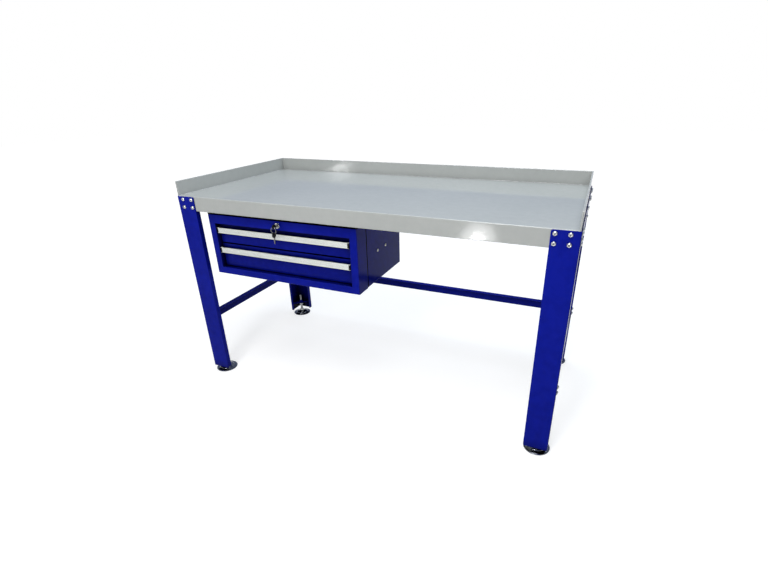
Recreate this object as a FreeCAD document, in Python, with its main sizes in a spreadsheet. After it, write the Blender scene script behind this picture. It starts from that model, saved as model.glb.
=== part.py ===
import FreeCAD, Part
import math
import os

import Sketcher
from FreeCAD import Placement, Rotation, Vector

# Workshop bench in painted sheet steel: a folded worktop tray with a raised rim, four folded legs
# on levelling feet, three stretchers, and a two-drawer cabinet hung under the left half.
# Frame: X to the right, Y to the back, Z up, origin on the floor under the middle of the bench.

DOC = FreeCAD.newDocument("workbench")
SHEET = DOC.addObject("Spreadsheet::Sheet", "sizes")


class Size:
    """A length in mm that also carries the sheet formula it comes from."""

    def __init__(self, value, formula):
        self.value = float(value)
        self.formula = formula

    def __add__(self, other):
        return joined(self, "+", other)

    def __radd__(self, other):
        return joined(other, "+", self)

    def __sub__(self, other):
        return joined(self, "-", other)

    def __rsub__(self, other):
        return joined(other, "-", self)

    def __mul__(self, other):
        return joined(self, "*", other)

    def __rmul__(self, other):
        return joined(other, "*", self)

    def __truediv__(self, other):
        return joined(self, "/", other)

    def __neg__(self):
        return joined(0, "-", self)


def as_size(number):
    """A plain number as a Size, so that both can be used in one sum."""
    if isinstance(number, Size):
        return number
    return Size(number, f"{float(number):.9f}" if number >= 0 else f"(0 - {-float(number):.9f})")


def joined(left, sign, right):
    """The Size of left + right, left - right, left * right or left / right."""
    left = as_size(left)
    right = as_size(right)
    results = {
        "+": left.value + right.value,
        "-": left.value - right.value,
        "*": left.value * right.value,
        "/": left.value / right.value if right.value else 0.0,
    }
    return Size(results[sign], f"({left.formula} {sign} {right.formula})")


def number(size):
    """The plain number of mm of a Size or a number."""
    return as_size(size).value


def vector(x, y, z):
    """A FreeCAD vector from Sizes or numbers."""
    return Vector(number(x), number(y), number(z))


def driving(alias, value, meaning):
    """Write one driving dimension into the sheet and return it as a Size."""
    driving.row += 1
    SHEET.set(f"A{driving.row}", meaning)
    SHEET.set(f"B{driving.row}", str(value))
    SHEET.setAlias(f"B{driving.row}", alias)
    return Size(value, f"sizes.{alias}")


driving.row = 0


def bind(target, path, size):
    """Drive one property of an object from the sheet."""
    target.setExpression(path, as_size(size).formula)


# ---------------------------------------------------------------------------------------------
# Driving dimensions, mm
# ---------------------------------------------------------------------------------------------

bench_width = driving("bench_width", 1500, "outside of the legs, left to right")
bench_depth = driving("bench_depth", 700, "outside of the legs, front to back")
surface_height = driving("surface_height", 810, "floor to the working surface")
upstand_height = driving("upstand_height", 55, "rim above the working surface")
apron_height = driving("apron_height", 57, "working surface to the bottom of the apron")
rim_width = driving("rim_width", 5, "thickness of the folded rim, both skins and the gap")
tray_sheet = driving("tray_sheet", 1.5, "worktop sheet")
tray_hem = driving("tray_hem", 15, "hem turned in along the bottom of the apron")
tray_bend = driving("tray_bend", 2.5, "outer radius of the worktop's folds")
rim_bend = driving("rim_bend", 1.2, "outer radius of the fold along the top of the rim")

leg_sheet = driving("leg_sheet", 3, "leg sheet")
leg_face_width = driving("leg_face_width", 83, "leg flange seen from the front or the back")
leg_side_width = driving("leg_side_width", 78, "leg flange seen from the side")
leg_face_return = driving("leg_face_return", 20, "lip behind the face flange, with the sheet")
leg_side_return = driving("leg_side_return", 12, "lip behind the side flange, with the sheet")
leg_clearance = driving("leg_clearance", 23, "floor to the bottom of the leg")
leg_top_drop = driving("leg_top_drop", 2, "working surface to the top of the leg")
leg_bend = driving("leg_bend", 4.5, "outer radius of the leg's main fold")
leg_corner = driving("leg_corner", 6, "rounded free corners of the leg flanges")
notch_play = driving("notch_play", 1.5, "play round a stretcher where it passes a leg's lip")

stretcher_sheet = driving("stretcher_sheet", 2, "stretcher sheet")
stretcher_web = driving("stretcher_web", 42, "height of a stretcher")
stretcher_flange = driving("stretcher_flange", 25, "width of a stretcher's top flange")
stretcher_top = driving("stretcher_top", 283, "floor to the top of the stretchers")
stretcher_end_gap = driving("stretcher_end_gap", 12, "side stretcher's end to the leg's face flange")
stretcher_corner_gap = driving("stretcher_corner_gap", 3, "rear stretcher to a side stretcher's flange")

stiffener_depth = driving("stiffener_depth", 38, "depth of a hat channel under the worktop")
stiffener_crown = driving("stiffener_crown", 50, "width of a hat channel's crown")
stiffener_flange = driving("stiffener_flange", 20, "width of each hat channel flange")
stiffener_pitch = driving("stiffener_pitch", 200, "distance between hat channels")
stiffener_end_gap = driving("stiffener_end_gap", 12, "channel end to the side of the tray")

bolt_face_outer = driving("bolt_face_outer", 29, "face flange bolts, outer column from the leg's edge")
bolt_side_outer = driving("bolt_side_outer", 24, "side flange bolts, outer column from the leg's edge")
bolt_margin = driving("bolt_margin", 12, "inner column of bolts to the inner edge of a leg flange")
bolt_row_upper = driving("bolt_row_upper", 13, "surface to the upper bolt row")
bolt_row_lower = driving("bolt_row_lower", 43, "surface to the lower bolt row")
stretcher_bolt_gap = driving("stretcher_bolt_gap", 22, "the two bolts at a stretcher's end")
side_stretcher_bolt = driving("side_stretcher_bolt", 30, "leg's front or back to a side stretcher's bolts")
rear_stretcher_bolt = driving("rear_stretcher_bolt", 46, "leg's side to the rear stretcher's bolts")
frame_bolt_length = driving("frame_bolt_length", 14, "frame bolt, under the head")
bolt_play = driving("bolt_play", 1, "hole diameter less bolt diameter")
frame_bolt = driving("frame_bolt", 8, "frame bolt diameter")
frame_bolt_head = driving("frame_bolt_head", 13.6, "frame bolt head diameter")
frame_bolt_dome = driving("frame_bolt_dome", 5.2, "frame bolt head height")
head_taper = driving("head_taper", 30, "slope of a button head's side, in degrees")
frame_nut_flats = driving("frame_nut_flats", 13, "frame nut across flats")
frame_nut_height = driving("frame_nut_height", 6.5, "frame nut height")
nut_play = driving("nut_play", 0.15, "bolt to the bore of its nut, on the radius")
end_rail_sheet = driving("end_rail_sheet", 3, "end rail between the legs at the worktop")
end_rail_play = driving("end_rail_play", 1, "end rail to the leg at each end")
end_rail_corner = driving("end_rail_corner", 4, "rounded corners of the end rails")

foot_inset_x = driving("foot_inset_x", 39, "foot axis to the side of the bench")
foot_inset_y = driving("foot_inset_y", 36, "foot axis to the front or back of the bench")
foot_pad = driving("foot_pad", 93, "foot pad diameter")
foot_pad_rim = driving("foot_pad_rim", 4, "height of the pad's rim")
foot_step = driving("foot_step", 62, "diameter where the pad steps up")
foot_step_low = driving("foot_step_low", 8, "height at the outside of the step")
foot_step_high = driving("foot_step_high", 10.5, "height at the inside of the step")
foot_neck = driving("foot_neck", 26, "pad neck diameter")
foot_pad_height = driving("foot_pad_height", 17, "floor to the top of the pad")
foot_stem = driving("foot_stem", 12, "foot stem diameter")
foot_stem_top = driving("foot_stem_top", 112, "floor to the top of the stem")
foot_collar_flats = driving("foot_collar_flats", 18, "hexagon at the bottom of the stem")
foot_collar_height = driving("foot_collar_height", 8, "height of that hexagon")
foot_play = driving("foot_play", 0.3, "stem to its threaded boss, on the radius")
bracket_height = driving("bracket_height", 66, "floor to the underside of the foot bracket")
bracket_sheet = driving("bracket_sheet", 3, "foot bracket plate")
bracket_corner = driving("bracket_corner", 22, "chamfer on the bracket's free corner")
bracket_gusset = driving("bracket_gusset", 30, "depth of the bracket's gussets")
bracket_boss = driving("bracket_boss", 10, "height of the threaded boss")
foot_nut_flats = driving("foot_nut_flats", 19, "foot lock nut and boss across flats")
foot_nut_height = driving("foot_nut_height", 7, "foot lock nut height")

cabinet_width = driving("cabinet_width", 665, "front frame, left to right")
cabinet_height = driving("cabinet_height", 254, "front frame height")
cabinet_depth = driving("cabinet_depth", 382, "front of the frame to the back of the cabinet")
cabinet_offset = driving("cabinet_offset", 302, "middle of the bench to the cabinet's middle, leftwards")
cabinet_setback = driving("cabinet_setback", 25, "front of the legs to the front of the cabinet")
cabinet_gap = driving("cabinet_gap", 6, "bottom of the apron to the top of the cabinet")
frame_depth = driving("frame_depth", 70, "depth of the front frame's collar")
frame_sheet = driving("frame_sheet", 1.5, "front frame sheet")
frame_bend = driving("frame_bend", 2.2, "outer radius of the front frame's folds")
carcass_sheet = driving("carcass_sheet", 1.2, "carcass and back panel sheet")
carcass_lap = driving("carcass_lap", 36, "length of carcass inside the front frame's collar")
back_flange = driving("back_flange", 14, "flange round the back panel")
stile_width = driving("stile_width", 28.5, "width of each side of the front frame")
top_rail = driving("top_rail", 42, "top rail height")
bottom_rail = driving("bottom_rail", 28, "bottom rail height")
reveal_depth = driving("reveal_depth", 33, "depth of the reveal round the opening")
front_recess = driving("front_recess", 20, "frame's face to the drawer fronts")
front_play = driving("front_play", 3, "gap round and between the drawer fronts")
front_depth = driving("front_depth", 12, "depth of a drawer front's folds")
front_lip = driving("front_lip", 18, "lower lip behind a drawer front")
front_upper_lip = driving("front_upper_lip", 28, "upper lip behind a drawer front")
front_screw_inset = driving("front_screw_inset", 58, "side of a drawer box to the screws of its front")
front_sheet = driving("front_sheet", 1.2, "drawer front sheet")
upper_front_height = driving("upper_front_height", 79, "height of the upper drawer front")

hanger_crown = driving("hanger_crown", 40, "hanger crown width")
hanger_foot = driving("hanger_foot", 22, "hanger foot width")
hanger_sheet = driving("hanger_sheet", 2.5, "hanger sheet")
hanger_half_pitch = driving("hanger_half_pitch", 230, "cabinet's middle to each hanger")
hanger_margin = driving("hanger_margin", 10, "hanger end to the collar and to the back")
cabinet_bolt = driving("cabinet_bolt", 6, "cabinet bolt diameter")
cabinet_bolt_head = driving("cabinet_bolt_head", 11, "cabinet bolt head diameter")
cabinet_bolt_dome = driving("cabinet_bolt_dome", 3.6, "cabinet bolt head height")
cabinet_nut_flats = driving("cabinet_nut_flats", 10, "cabinet nut across flats")
cabinet_nut_height = driving("cabinet_nut_height", 5, "cabinet nut height")
cabinet_bolt_length = driving("cabinet_bolt_length", 11, "cabinet bolt, under the head")
front_screw = driving("front_screw", 3.5, "sheet-metal screw between a drawer front and its box")
front_screw_head = driving("front_screw_head", 7, "head diameter of that screw")
front_screw_dome = driving("front_screw_dome", 2.2, "head height of that screw")
front_screw_length = driving("front_screw_length", 4, "that screw, under the head")
handle_rivet = driving("handle_rivet", 3.2, "handle rivet diameter")
handle_rivet_head = driving("handle_rivet_head", 6.4, "handle rivet head diameter")
handle_rivet_dome = driving("handle_rivet_dome", 1.1, "handle rivet head height")
handle_rivet_inset = driving("handle_rivet_inset", 57, "end of the handle to its outer rivets")
handle_rivet_rise = driving("handle_rivet_rise", 12.6, "bottom of the handle to its rivets")

drawer_back_gap = driving("drawer_back_gap", 16, "back of a drawer box to the back of the cabinet")
drawer_sheet = driving("drawer_sheet", 1, "drawer box sheet")
drawer_rim = driving("drawer_rim", 7, "rim turned in round the top of a drawer box")
drawer_foot_gap = driving("drawer_foot_gap", 4, "bottom of a drawer front to the box behind it")
drawer_head_gap = driving("drawer_head_gap", 12, "top of a drawer box to the top of its front")

slide_height = driving("slide_height", 35, "drawer slide height")
slide_depth = driving("slide_depth", 12.7, "drawer slide thickness, outer to inner face")
slide_back_gap = driving("slide_back_gap", 18, "back end of the slides to the back of the cabinet")
slide_set_back = driving("slide_set_back", 1.3, "opening's side to the outer face of a slide")
slide_sheet = driving("slide_sheet", 1.2, "drawer slide sheet")
slide_play = driving("slide_play", 0.8, "running gap between slide members")
slide_start = driving("slide_start", 36, "frame's face to the front end of the slides")
upper_slide_rise = driving("upper_slide_rise", 27, "upper drawer box's bottom to its slides' middle")
lower_slide_rise = driving("lower_slide_rise", 46, "lower drawer box's bottom to its slides' middle")

carrier_sheet = driving("carrier_sheet", 1.5, "slide carrier sheet")
carrier_web = driving("carrier_web", 30, "height of the carrier's web on the cabinet side")
carrier_screw_front = driving("carrier_screw_front", 165, "frame's face to the front carrier screw")
carrier_screw_rear = driving("carrier_screw_rear", 237, "frame's face to the rear carrier screw")

handle_drop = driving("handle_drop", 15, "top of a drawer front to the top of its handle")
handle_height = driving("handle_height", 21, "handle height")
handle_wall = driving("handle_wall", 1.8, "handle wall")
handle_nose = driving("handle_nose", 1.1, "rounding of the handle's front edges")
handle_bead = driving("handle_bead", 3.2, "bead along the handle's lip, front to back")
handle_set_in = driving("handle_set_in", 1, "frame's face to the handle's face")
handle_side_gap = driving("handle_side_gap", 5, "opening's side to the end of the handle")
cap_width = driving("cap_width", 6, "handle end cap width")

lock_rise = driving("lock_rise", 17, "top of the opening to the lock's axis")
lock_barrel = driving("lock_barrel", 18, "lock barrel diameter")
lock_flange = driving("lock_flange", 22, "lock flange diameter")
lock_flange_depth = driving("lock_flange_depth", 2.4, "lock flange thickness")
lock_length = driving("lock_length", 25, "barrel behind the front frame's face")
lock_bore = driving("lock_bore", 12, "bore for the plug")
lock_nut_flats = driving("lock_nut_flats", 22, "lock nut across flats")
lock_nut_depth = driving("lock_nut_depth", 3, "lock nut thickness")
plug_play = driving("plug_play", 0.05, "plug to its bore, on the radius")
plug_flange = driving("plug_flange", 15, "plug face diameter")
plug_face_depth = driving("plug_face_depth", 0.8, "plug face in front of the lock flange")
plug_face_play = driving("plug_face_play", 0.1, "plug face to the lock flange")
cam_depth = driving("cam_depth", 2.5, "cam thickness")
cam_width = driving("cam_width", 14, "cam width")
cam_reach = driving("cam_reach", 31, "lock axis to the tip of the cam")
cam_play = driving("cam_play", 0.4, "cam to the end of the barrel")
cam_slot_play = driving("cam_slot_play", 2, "slot to the cam on each side")

bow_width = driving("bow_width", 20, "key bow diameter")
bow_depth = driving("bow_depth", 4, "key bow thickness")
bow_hole = driving("bow_hole", 4.6, "hole in the key bow")
bow_hole_offset = driving("bow_hole_offset", 5.7, "bow centre to the hole")
bow_standoff = driving("bow_standoff", 8, "frame's face to the near side of the bow")
blade_length = driving("blade_length", 24, "key blade beyond the bow")
blade_width = driving("blade_width", 7, "key blade width")
blade_depth = driving("blade_depth", 2, "key blade thickness")
blade_root = driving("blade_root", 2, "blade moulded into the bow")
key_shoulder = driving("key_shoulder", 5.3, "bow to the first slope of the cuts")
key_first_cut = driving("key_first_cut", 7.2, "bow to the first cut")
key_cut_pitch = driving("key_cut_pitch", 3, "distance between the corners of the cuts")
key_cut_depth = driving("key_cut_depth", 2, "depth of the cuts")
key_tip = driving("key_tip", 2.1, "slope at the tip of the blade")
keyway_play = driving("keyway_play", 0.3, "key blade to the keyway")
ring_radius = driving("ring_radius", 11, "key ring centreline radius")
ring_wire = driving("ring_wire", 1.8, "key ring wire diameter")
ring_play = driving("ring_play", 0.5, "ring to the hole it hangs in")

DOC.recompute()


# ---------------------------------------------------------------------------------------------
# Modelling helpers
# ---------------------------------------------------------------------------------------------

OVERCUT = 1
HOLE_SIDES = 8
HEAD_SIDES = 10
PAD_SIDES = 24
RING_SIDES = 24
KEY_CUT_CORNERS = 5
NORMAL_SIGN = {"XY": 1, "XZ": -1, "YZ": 1}
CUTS = []
SUBPARTS = []


def new_body(label, at=None, export=True):
    """A PartDesign body, moved to 'at' (three Sizes) and exported under its label."""
    body = DOC.addObject("PartDesign::Body", label)
    body.Label = label
    if at:
        for path, size in zip(("x", "y", "z"), at):
            bind(body, f"Placement.Base.{path}", size)
    if export:
        SUBPARTS.append(body)
    return body


def origin_plane(body, plane):
    """One of the body's own origin planes."""
    role = f"{plane}_Plane"
    return next(item for item in body.Origin.OriginFeatures if item.Role == role)


def new_sketch(body, name, plane, at):
    """An empty sketch parallel to an origin plane, 'at' mm along that plane's axis."""
    sketch = body.newObject("Sketcher::SketchObject", name)
    sketch.AttachmentSupport = [(origin_plane(body, plane), "")]
    sketch.MapMode = "FlatFace"
    bind(sketch, "AttachmentOffset.Base.z", NORMAL_SIGN[plane] * as_size(at))
    return sketch


def pin_point(sketch, geometry, end, x, y):
    """Hold one end of a line or arc at x, y."""
    for kind, size in (("DistanceX", x), ("DistanceY", y)):
        index = sketch.addConstraint(
            Sketcher.Constraint(kind, -1, 1, geometry, end, number(size))
        )
        bind(sketch, f"Constraints[{index}]", size)


def arc_between(start, finish, radius):
    """The arc from start to finish: its centre is on the left for a positive radius."""
    chord = finish - start
    middle = (start + finish) * 0.5
    rise = math.sqrt(max(radius * radius - chord.Length**2 / 4, 0))
    left = Vector(-chord.y, chord.x, 0).normalize()
    centre = middle + left * math.copysign(rise, radius)
    first, last = (start, finish) if radius > 0 else (finish, start)
    angles = [math.atan2(p.y - centre.y, p.x - centre.x) for p in (first, last)]
    if angles[1] < angles[0]:
        angles[1] += 2 * math.pi
    return Part.ArcOfCircle(Part.Circle(centre, Vector(0, 0, 1), abs(radius)), *angles)


def draw_loop(sketch, corners):
    """A closed loop; a corner (x, y, radius) is reached by an arc, (x, y) by a line."""
    points = [vector(corner[0], corner[1], 0) for corner in corners]
    ends = []
    for i, corner in enumerate(corners):
        before = points[i - 1]
        if len(corner) == 3:
            radius = corner[2]
            index = sketch.addGeometry(arc_between(before, points[i], number(radius)))
            size = radius if number(radius) > 0 else -as_size(radius)
            row = sketch.addConstraint(Sketcher.Constraint("Radius", index, number(size)))
            bind(sketch, f"Constraints[{row}]", size)
            ends.append((index, 1, 2) if number(radius) > 0 else (index, 2, 1))
        else:
            index = sketch.addGeometry(Part.LineSegment(before, points[i]))
            ends.append((index, 1, 2))
    for i, corner in enumerate(corners):
        this = ends[i]
        after = ends[(i + 1) % len(ends)]
        sketch.addConstraint(Sketcher.Constraint("Coincident", this[0], this[2], after[0], after[1]))
        pin_point(sketch, this[0], this[2], corner[0], corner[1])


def draw_circle(sketch, x, y, diameter):
    """A circle of a given diameter round x, y."""
    circle = Part.Circle(vector(x, y, 0), Vector(0, 0, 1), number(diameter) / 2)
    index = sketch.addGeometry(circle)
    row = sketch.addConstraint(Sketcher.Constraint("Diameter", index, number(diameter)))
    bind(sketch, f"Constraints[{row}]", diameter)
    pin_point(sketch, index, 3, x, y)


def extrude(body, sketch, plane, start, finish, cut):
    """Pad a sketch from start to finish along its plane's axis, or cut that space away."""
    kind = "PartDesign::Pocket" if cut else "PartDesign::Pad"
    before = body.Tip
    feature = body.newObject(kind, f"{sketch.Name}_{'cut' if cut else 'pad'}")
    feature.Profile = sketch
    along_axis = number(finish) > number(start)
    length = finish - as_size(start) if along_axis else start - as_size(finish)
    bind(feature, "Length", length)
    along_normal = along_axis == (NORMAL_SIGN[plane] > 0)
    feature.Reversed = along_normal if cut else not along_normal
    sketch.Visibility = False
    if cut:
        CUTS.append((before, feature))
    return feature


def block(body, name, plane, loops, start, finish, cut=False):
    """A straight solid, or a cut, with one or more loops as its section."""
    if not isinstance(loops[0][0], (tuple, list)):
        loops = [loops]
    sketch = new_sketch(body, name, plane, start)
    for loop in loops:
        draw_loop(sketch, loop)
    return extrude(body, sketch, plane, start, finish, cut)


def rounds(body, name, plane, circles, start, finish, cut=False):
    """Cylinders, or round holes: circles are (x, y, diameter)."""
    sketch = new_sketch(body, name, plane, start)
    for x, y, diameter in circles:
        draw_circle(sketch, x, y, diameter)
    return extrude(body, sketch, plane, start, finish, cut)


def drill(body, name, plane, spots, start, finish):
    """Drilled holes with few faces: spots are (x, y, diameter)."""
    loops = [polygon(HOLE_SIDES, diameter, x, y) for x, y, diameter in spots]
    return block(body, name, plane, loops, start, finish, cut=True)


def loft(body, name, low_loop, high_loop, start, finish):
    """A solid whose section changes straight from one loop to another between two heights."""
    low = new_sketch(body, f"{name}_low", "XY", start)
    draw_loop(low, low_loop)
    high = new_sketch(body, f"{name}_high", "XY", finish)
    draw_loop(high, high_loop)
    feature = body.newObject("PartDesign::AdditiveLoft", name)
    feature.Profile = low
    feature.Sections = [high]
    feature.Ruled = True
    low.Visibility = False
    high.Visibility = False
    return feature


def oblong(x_low, x_high, y_low, y_high):
    """The four corners of a rectangle."""
    return [(x_low, y_low), (x_high, y_low), (x_high, y_high), (x_low, y_high)]


def polygon(sides, flats, x=0, y=0):
    """A regular polygon's corners round x, y from its size across flats."""
    reach = as_size(flats) / (2 * math.cos(math.pi / sides))
    turns = [math.pi * (2 * i + 1) / sides for i in range(sides)]
    return [(x + reach * math.cos(turn), y + reach * math.sin(turn)) for turn in turns]


def round_edges(body, name, radius, lines):
    """Fillet the straight edges that run along an axis through the given points.

    Each line is (axis, a, b): a and b are the edge's place on the other two axes, in XYZ order.
    """
    DOC.recompute()
    shape = body.Tip.Shape
    names = []
    for axis, a, b in lines:
        others = [i for i in range(3) if i != axis]
        for i, edge in enumerate(shape.Edges):
            if edge.Curve.TypeId != "Part::GeomLine":
                continue
            ends = [edge.Vertexes[0].Point, edge.Vertexes[-1].Point]
            if all(
                abs(end[others[0]] - number(a)) < 0.01 and abs(end[others[1]] - number(b)) < 0.01
                for end in ends
            ):
                names.append(f"Edge{i + 1}")
    base = body.Tip
    fillet = body.newObject("PartDesign::Fillet", name)
    fillet.Base = (base, sorted(set(names)))
    bind(fillet, "Radius", radius)
    return fillet


def mirror_in_body(body, features, plane="YZ"):
    """Repeat features on the other side of one of the body's origin planes, as the body's tip."""
    mirrored = body.newObject("PartDesign::Mirrored", f"{body.Name}_mirrored")
    mirrored.Originals = features
    mirrored.MirrorPlane = (origin_plane(body, plane), [""])
    body.Tip = mirrored
    return mirrored


def mirrored_part(label, source, base_x=0):
    """The right-hand twin of a left-hand sub-part."""
    twin = DOC.addObject("Part::Mirroring", label)
    twin.Label = label
    twin.Source = source
    twin.Normal = Vector(1, 0, 0)
    bind(twin, "Base.x", base_x)
    SUBPARTS.append(twin)
    return twin


def group(label, template, placements):
    """One sub-part that holds a template's shape once at each placement."""
    DOC.recompute()
    copies = []
    for placement in placements:
        copy = template.Shape.copy()
        copy.Placement = placement.multiply(copy.Placement)
        copies.append(copy)
    feature = DOC.addObject("Part::Feature", label)
    feature.Label = label
    feature.Shape = Part.makeCompound(copies)
    SUBPARTS.append(feature)
    return feature


def facing(point, outward):
    """The placement that puts a fastener's seat at a point, with its head outward."""
    return Placement(point, Rotation(Vector(0, 0, 1), outward))


# ---------------------------------------------------------------------------------------------
# Places that several pieces share
# ---------------------------------------------------------------------------------------------

LEFT, RIGHT, FRONT, REAR = -1, 1, -1, 1

half_width = bench_width / 2
half_depth = bench_depth / 2
tray_half_width = half_width - leg_sheet
tray_half_depth = half_depth - leg_sheet
apron_bottom = surface_height - apron_height
rim_top = surface_height + upstand_height
tray_underside = surface_height - tray_sheet
leg_top = surface_height - leg_top_drop
stretcher_bottom = stretcher_top - stretcher_web
stretcher_middle = stretcher_top - stretcher_web / 2
stiffener_bottom = tray_underside - stiffener_depth
frame_hole = frame_bolt + bolt_play
cabinet_hole = cabinet_bolt + bolt_play

face_columns = (half_width - bolt_face_outer, half_width - leg_face_width + bolt_margin)
side_columns = (half_depth - bolt_side_outer, half_depth - leg_side_width + bolt_margin)
side_stretcher_column = half_depth - side_stretcher_bolt
rear_stretcher_column = half_width - rear_stretcher_bolt
tray_rows = (surface_height - bolt_row_upper, surface_height - bolt_row_lower)
stretcher_rows = (
    stretcher_middle - stretcher_bolt_gap / 2,
    stretcher_middle + stretcher_bolt_gap / 2,
)

cabinet_bottom = apron_bottom - cabinet_gap - cabinet_height
CABINET = (-cabinet_offset, cabinet_setback - half_depth, cabinet_bottom)


# ---------------------------------------------------------------------------------------------
# Worktop
# ---------------------------------------------------------------------------------------------


def make_worktop_tray():
    """One folded sheet: surface, front apron, and a rim that folds over into the outer skin."""
    tray = new_body("worktop_tray")
    x, y = tray_half_width, tray_half_depth
    inner = rim_width
    skin = tray_sheet
    block(tray, "tray_blank", "XY", oblong(-x, x, -y, y), apron_bottom, rim_top)
    basin = oblong(inner - x, x - inner, -y - 1, y - inner)
    block(tray, "tray_basin", "XY", basin, rim_top, surface_height, cut=True)
    hem = skin + tray_hem
    mouth = oblong(hem - x, x - hem, hem - y, y - hem)
    block(tray, "tray_mouth", "XY", mouth, apron_bottom, apron_bottom + skin, cut=True)
    hollow = oblong(skin - x, x - skin, skin - y, y - skin)
    block(tray, "tray_hollow", "XY", hollow, apron_bottom + skin, tray_underside, cut=True)
    near = skin
    far = inner - skin
    gap = [
        (near - x, skin - y),
        (far - x, skin - y),
        (far - x, y - far),
        (x - far, y - far),
        (x - far, skin - y),
        (x - near, skin - y),
        (x - near, y - near),
        (near - x, y - near),
    ]
    block(tray, "tray_rim_gap", "XY", gap, tray_underside, rim_top - skin, cut=True)
    face_holes = [(s * c, r, frame_hole) for s in (LEFT, RIGHT) for c in face_columns for r in tray_rows]
    drill(tray, "tray_face_holes", "XZ", face_holes, -y - 1, skin * 2 - y)
    drill(tray, "tray_back_holes", "XZ", face_holes, y + 1, y - skin * 2)
    side_holes = [(s * c, r, frame_hole) for s in (FRONT, REAR) for c in side_columns for r in tray_rows]
    side_holes += [(0, r, frame_hole) for r in tray_rows]
    drill(tray, "tray_left_holes", "YZ", side_holes, -x - 1, skin * 1.5 - x)
    drill(tray, "tray_right_holes", "YZ", side_holes, x + 1, x - skin * 1.5)
    round_edges(tray, "tray_front_fold", tray_bend, [(0, -y, surface_height)])
    folds = [(1, -x, rim_top), (1, x, rim_top), (0, y, rim_top)]
    folds += [(1, inner - x, rim_top), (1, x - inner, rim_top), (0, y - inner, rim_top)]
    folds += [(2, -x, y), (2, x, y)]
    round_edges(tray, "tray_rim_folds", rim_bend, folds)
    return tray


def make_stiffeners():
    """Hat channels spot-welded under the surface, crown down, one repeated front to back."""
    body = new_body("stiffener_channels")
    half = stiffener_crown / 2
    edge = half + stiffener_flange
    skin = tray_sheet
    top = tray_underside
    section = [
        (-edge, top),
        (-edge, top - skin),
        (-half, top - skin),
        (-half, stiffener_bottom),
        (half, stiffener_bottom),
        (half, top - skin),
        (edge, top - skin),
        (edge, top),
        (half - skin, top),
        (half - skin, stiffener_bottom + skin),
        (skin - half, stiffener_bottom + skin),
        (skin - half, top),
    ]
    end = tray_half_width - rim_width - stiffener_end_gap
    base = [(y - stiffener_pitch, z) for y, z in section]
    channel = block(body, "stiffener_section", "YZ", base, -end, end)
    holes = [
        (s * hanger_half_pitch - cabinet_offset, -stiffener_pitch, frame_hole)
        for s in (LEFT, RIGHT)
    ]
    drilled = drill(body, "stiffener_holes", "XY", holes, stiffener_bottom - 1, stiffener_bottom + skin * 2
    )
    rows = body.newObject("PartDesign::LinearPattern", "stiffener_rows")
    rows.Originals = [channel, drilled]
    rows.Direction = (next(o for o in body.Origin.OriginFeatures if o.Role == "Y_Axis"), [""])
    bind(rows, "Length", stiffener_pitch * 2)
    rows.Occurrences = 3
    body.Tip = rows
    return body


# ---------------------------------------------------------------------------------------------
# Legs, stretchers and feet
# ---------------------------------------------------------------------------------------------


def leg_outline(end):
    """Section of a left leg seen from above; end is FRONT or REAR."""
    x, y = half_width, half_depth
    skin = leg_sheet
    inward = [
        (0, 0),
        (leg_face_width, 0),
        (leg_face_width, leg_face_return),
        (leg_face_width - skin, leg_face_return),
        (leg_face_width - skin, skin),
        (skin, skin),
        (skin, leg_side_width - skin),
        (leg_side_return, leg_side_width - skin),
        (leg_side_return, leg_side_width),
        (0, leg_side_width),
    ]
    return [(a - x, end * y - end * as_size(b)) for a, b in inward]


def make_left_leg(label, end):
    """A folded leg: face flange and side flange with a lip on each, lips cut away at the tray."""
    leg = new_body(label)
    x, y = half_width, half_depth
    skin = leg_sheet
    block(leg, f"{label}_section", "XY", leg_outline(end), leg_clearance, leg_top)
    low, high = stretcher_bottom - notch_play, stretcher_top + notch_play
    lip_inside = leg_side_width - skin
    inner_box = [
        (skin - x, end * (y - skin)),
        (leg_face_width + 1 - x, end * (y - skin)),
        (leg_face_width + 1 - x, end * (y - leg_side_width - 1)),
        (skin - x, end * (y - leg_side_width - 1)),
    ]
    block(leg, f"{label}_head", "XY", inner_box, apron_bottom - notch_play, leg_top + 1, cut=True)
    side_notch = [
        (skin - x, end * (y - lip_inside + 1)),
        (leg_side_return + 1 - x, end * (y - lip_inside + 1)),
        (leg_side_return + 1 - x, end * (y - leg_side_width - 1)),
        (skin - x, end * (y - leg_side_width - 1)),
    ]
    block(leg, f"{label}_side_notch", "XY", side_notch, low, high, cut=True)
    if end == REAR:
        face_notch = [
            (leg_face_width - skin - 1 - x, y - skin),
            (leg_face_width + 1 - x, y - skin),
            (leg_face_width + 1 - x, y - leg_face_return - 1),
            (leg_face_width - skin - 1 - x, y - leg_face_return - 1),
        ]
        block(leg, f"{label}_face_notch", "XY", face_notch, low, high, cut=True)
    face_holes = [(-c, r, frame_hole) for c in face_columns for r in tray_rows]
    if end == REAR:
        face_holes += [(-rear_stretcher_column, r, frame_hole) for r in stretcher_rows]
    drill(leg, f"{label}_face_holes", "XZ", face_holes, end * (y + 1), end * (y - skin * 2))
    side_holes = [(end * c, r, frame_hole) for c in side_columns for r in tray_rows]
    side_holes += [(end * side_stretcher_column, r, frame_hole) for r in stretcher_rows]
    drill(leg, f"{label}_side_holes", "YZ", side_holes, -x - 1, skin * 2 - x)
    round_edges(leg, f"{label}_fold", leg_bend, [(2, -x, end * y)])
    face_end = leg_face_width - x
    corners = [(1, face_end, leg_clearance), (1, face_end, leg_top)]
    side_end = end * (y - leg_side_width)
    corners += [(0, side_end, leg_clearance), (0, side_end, leg_top)]
    round_edges(leg, f"{label}_corners", leg_corner, corners)
    return leg


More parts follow.
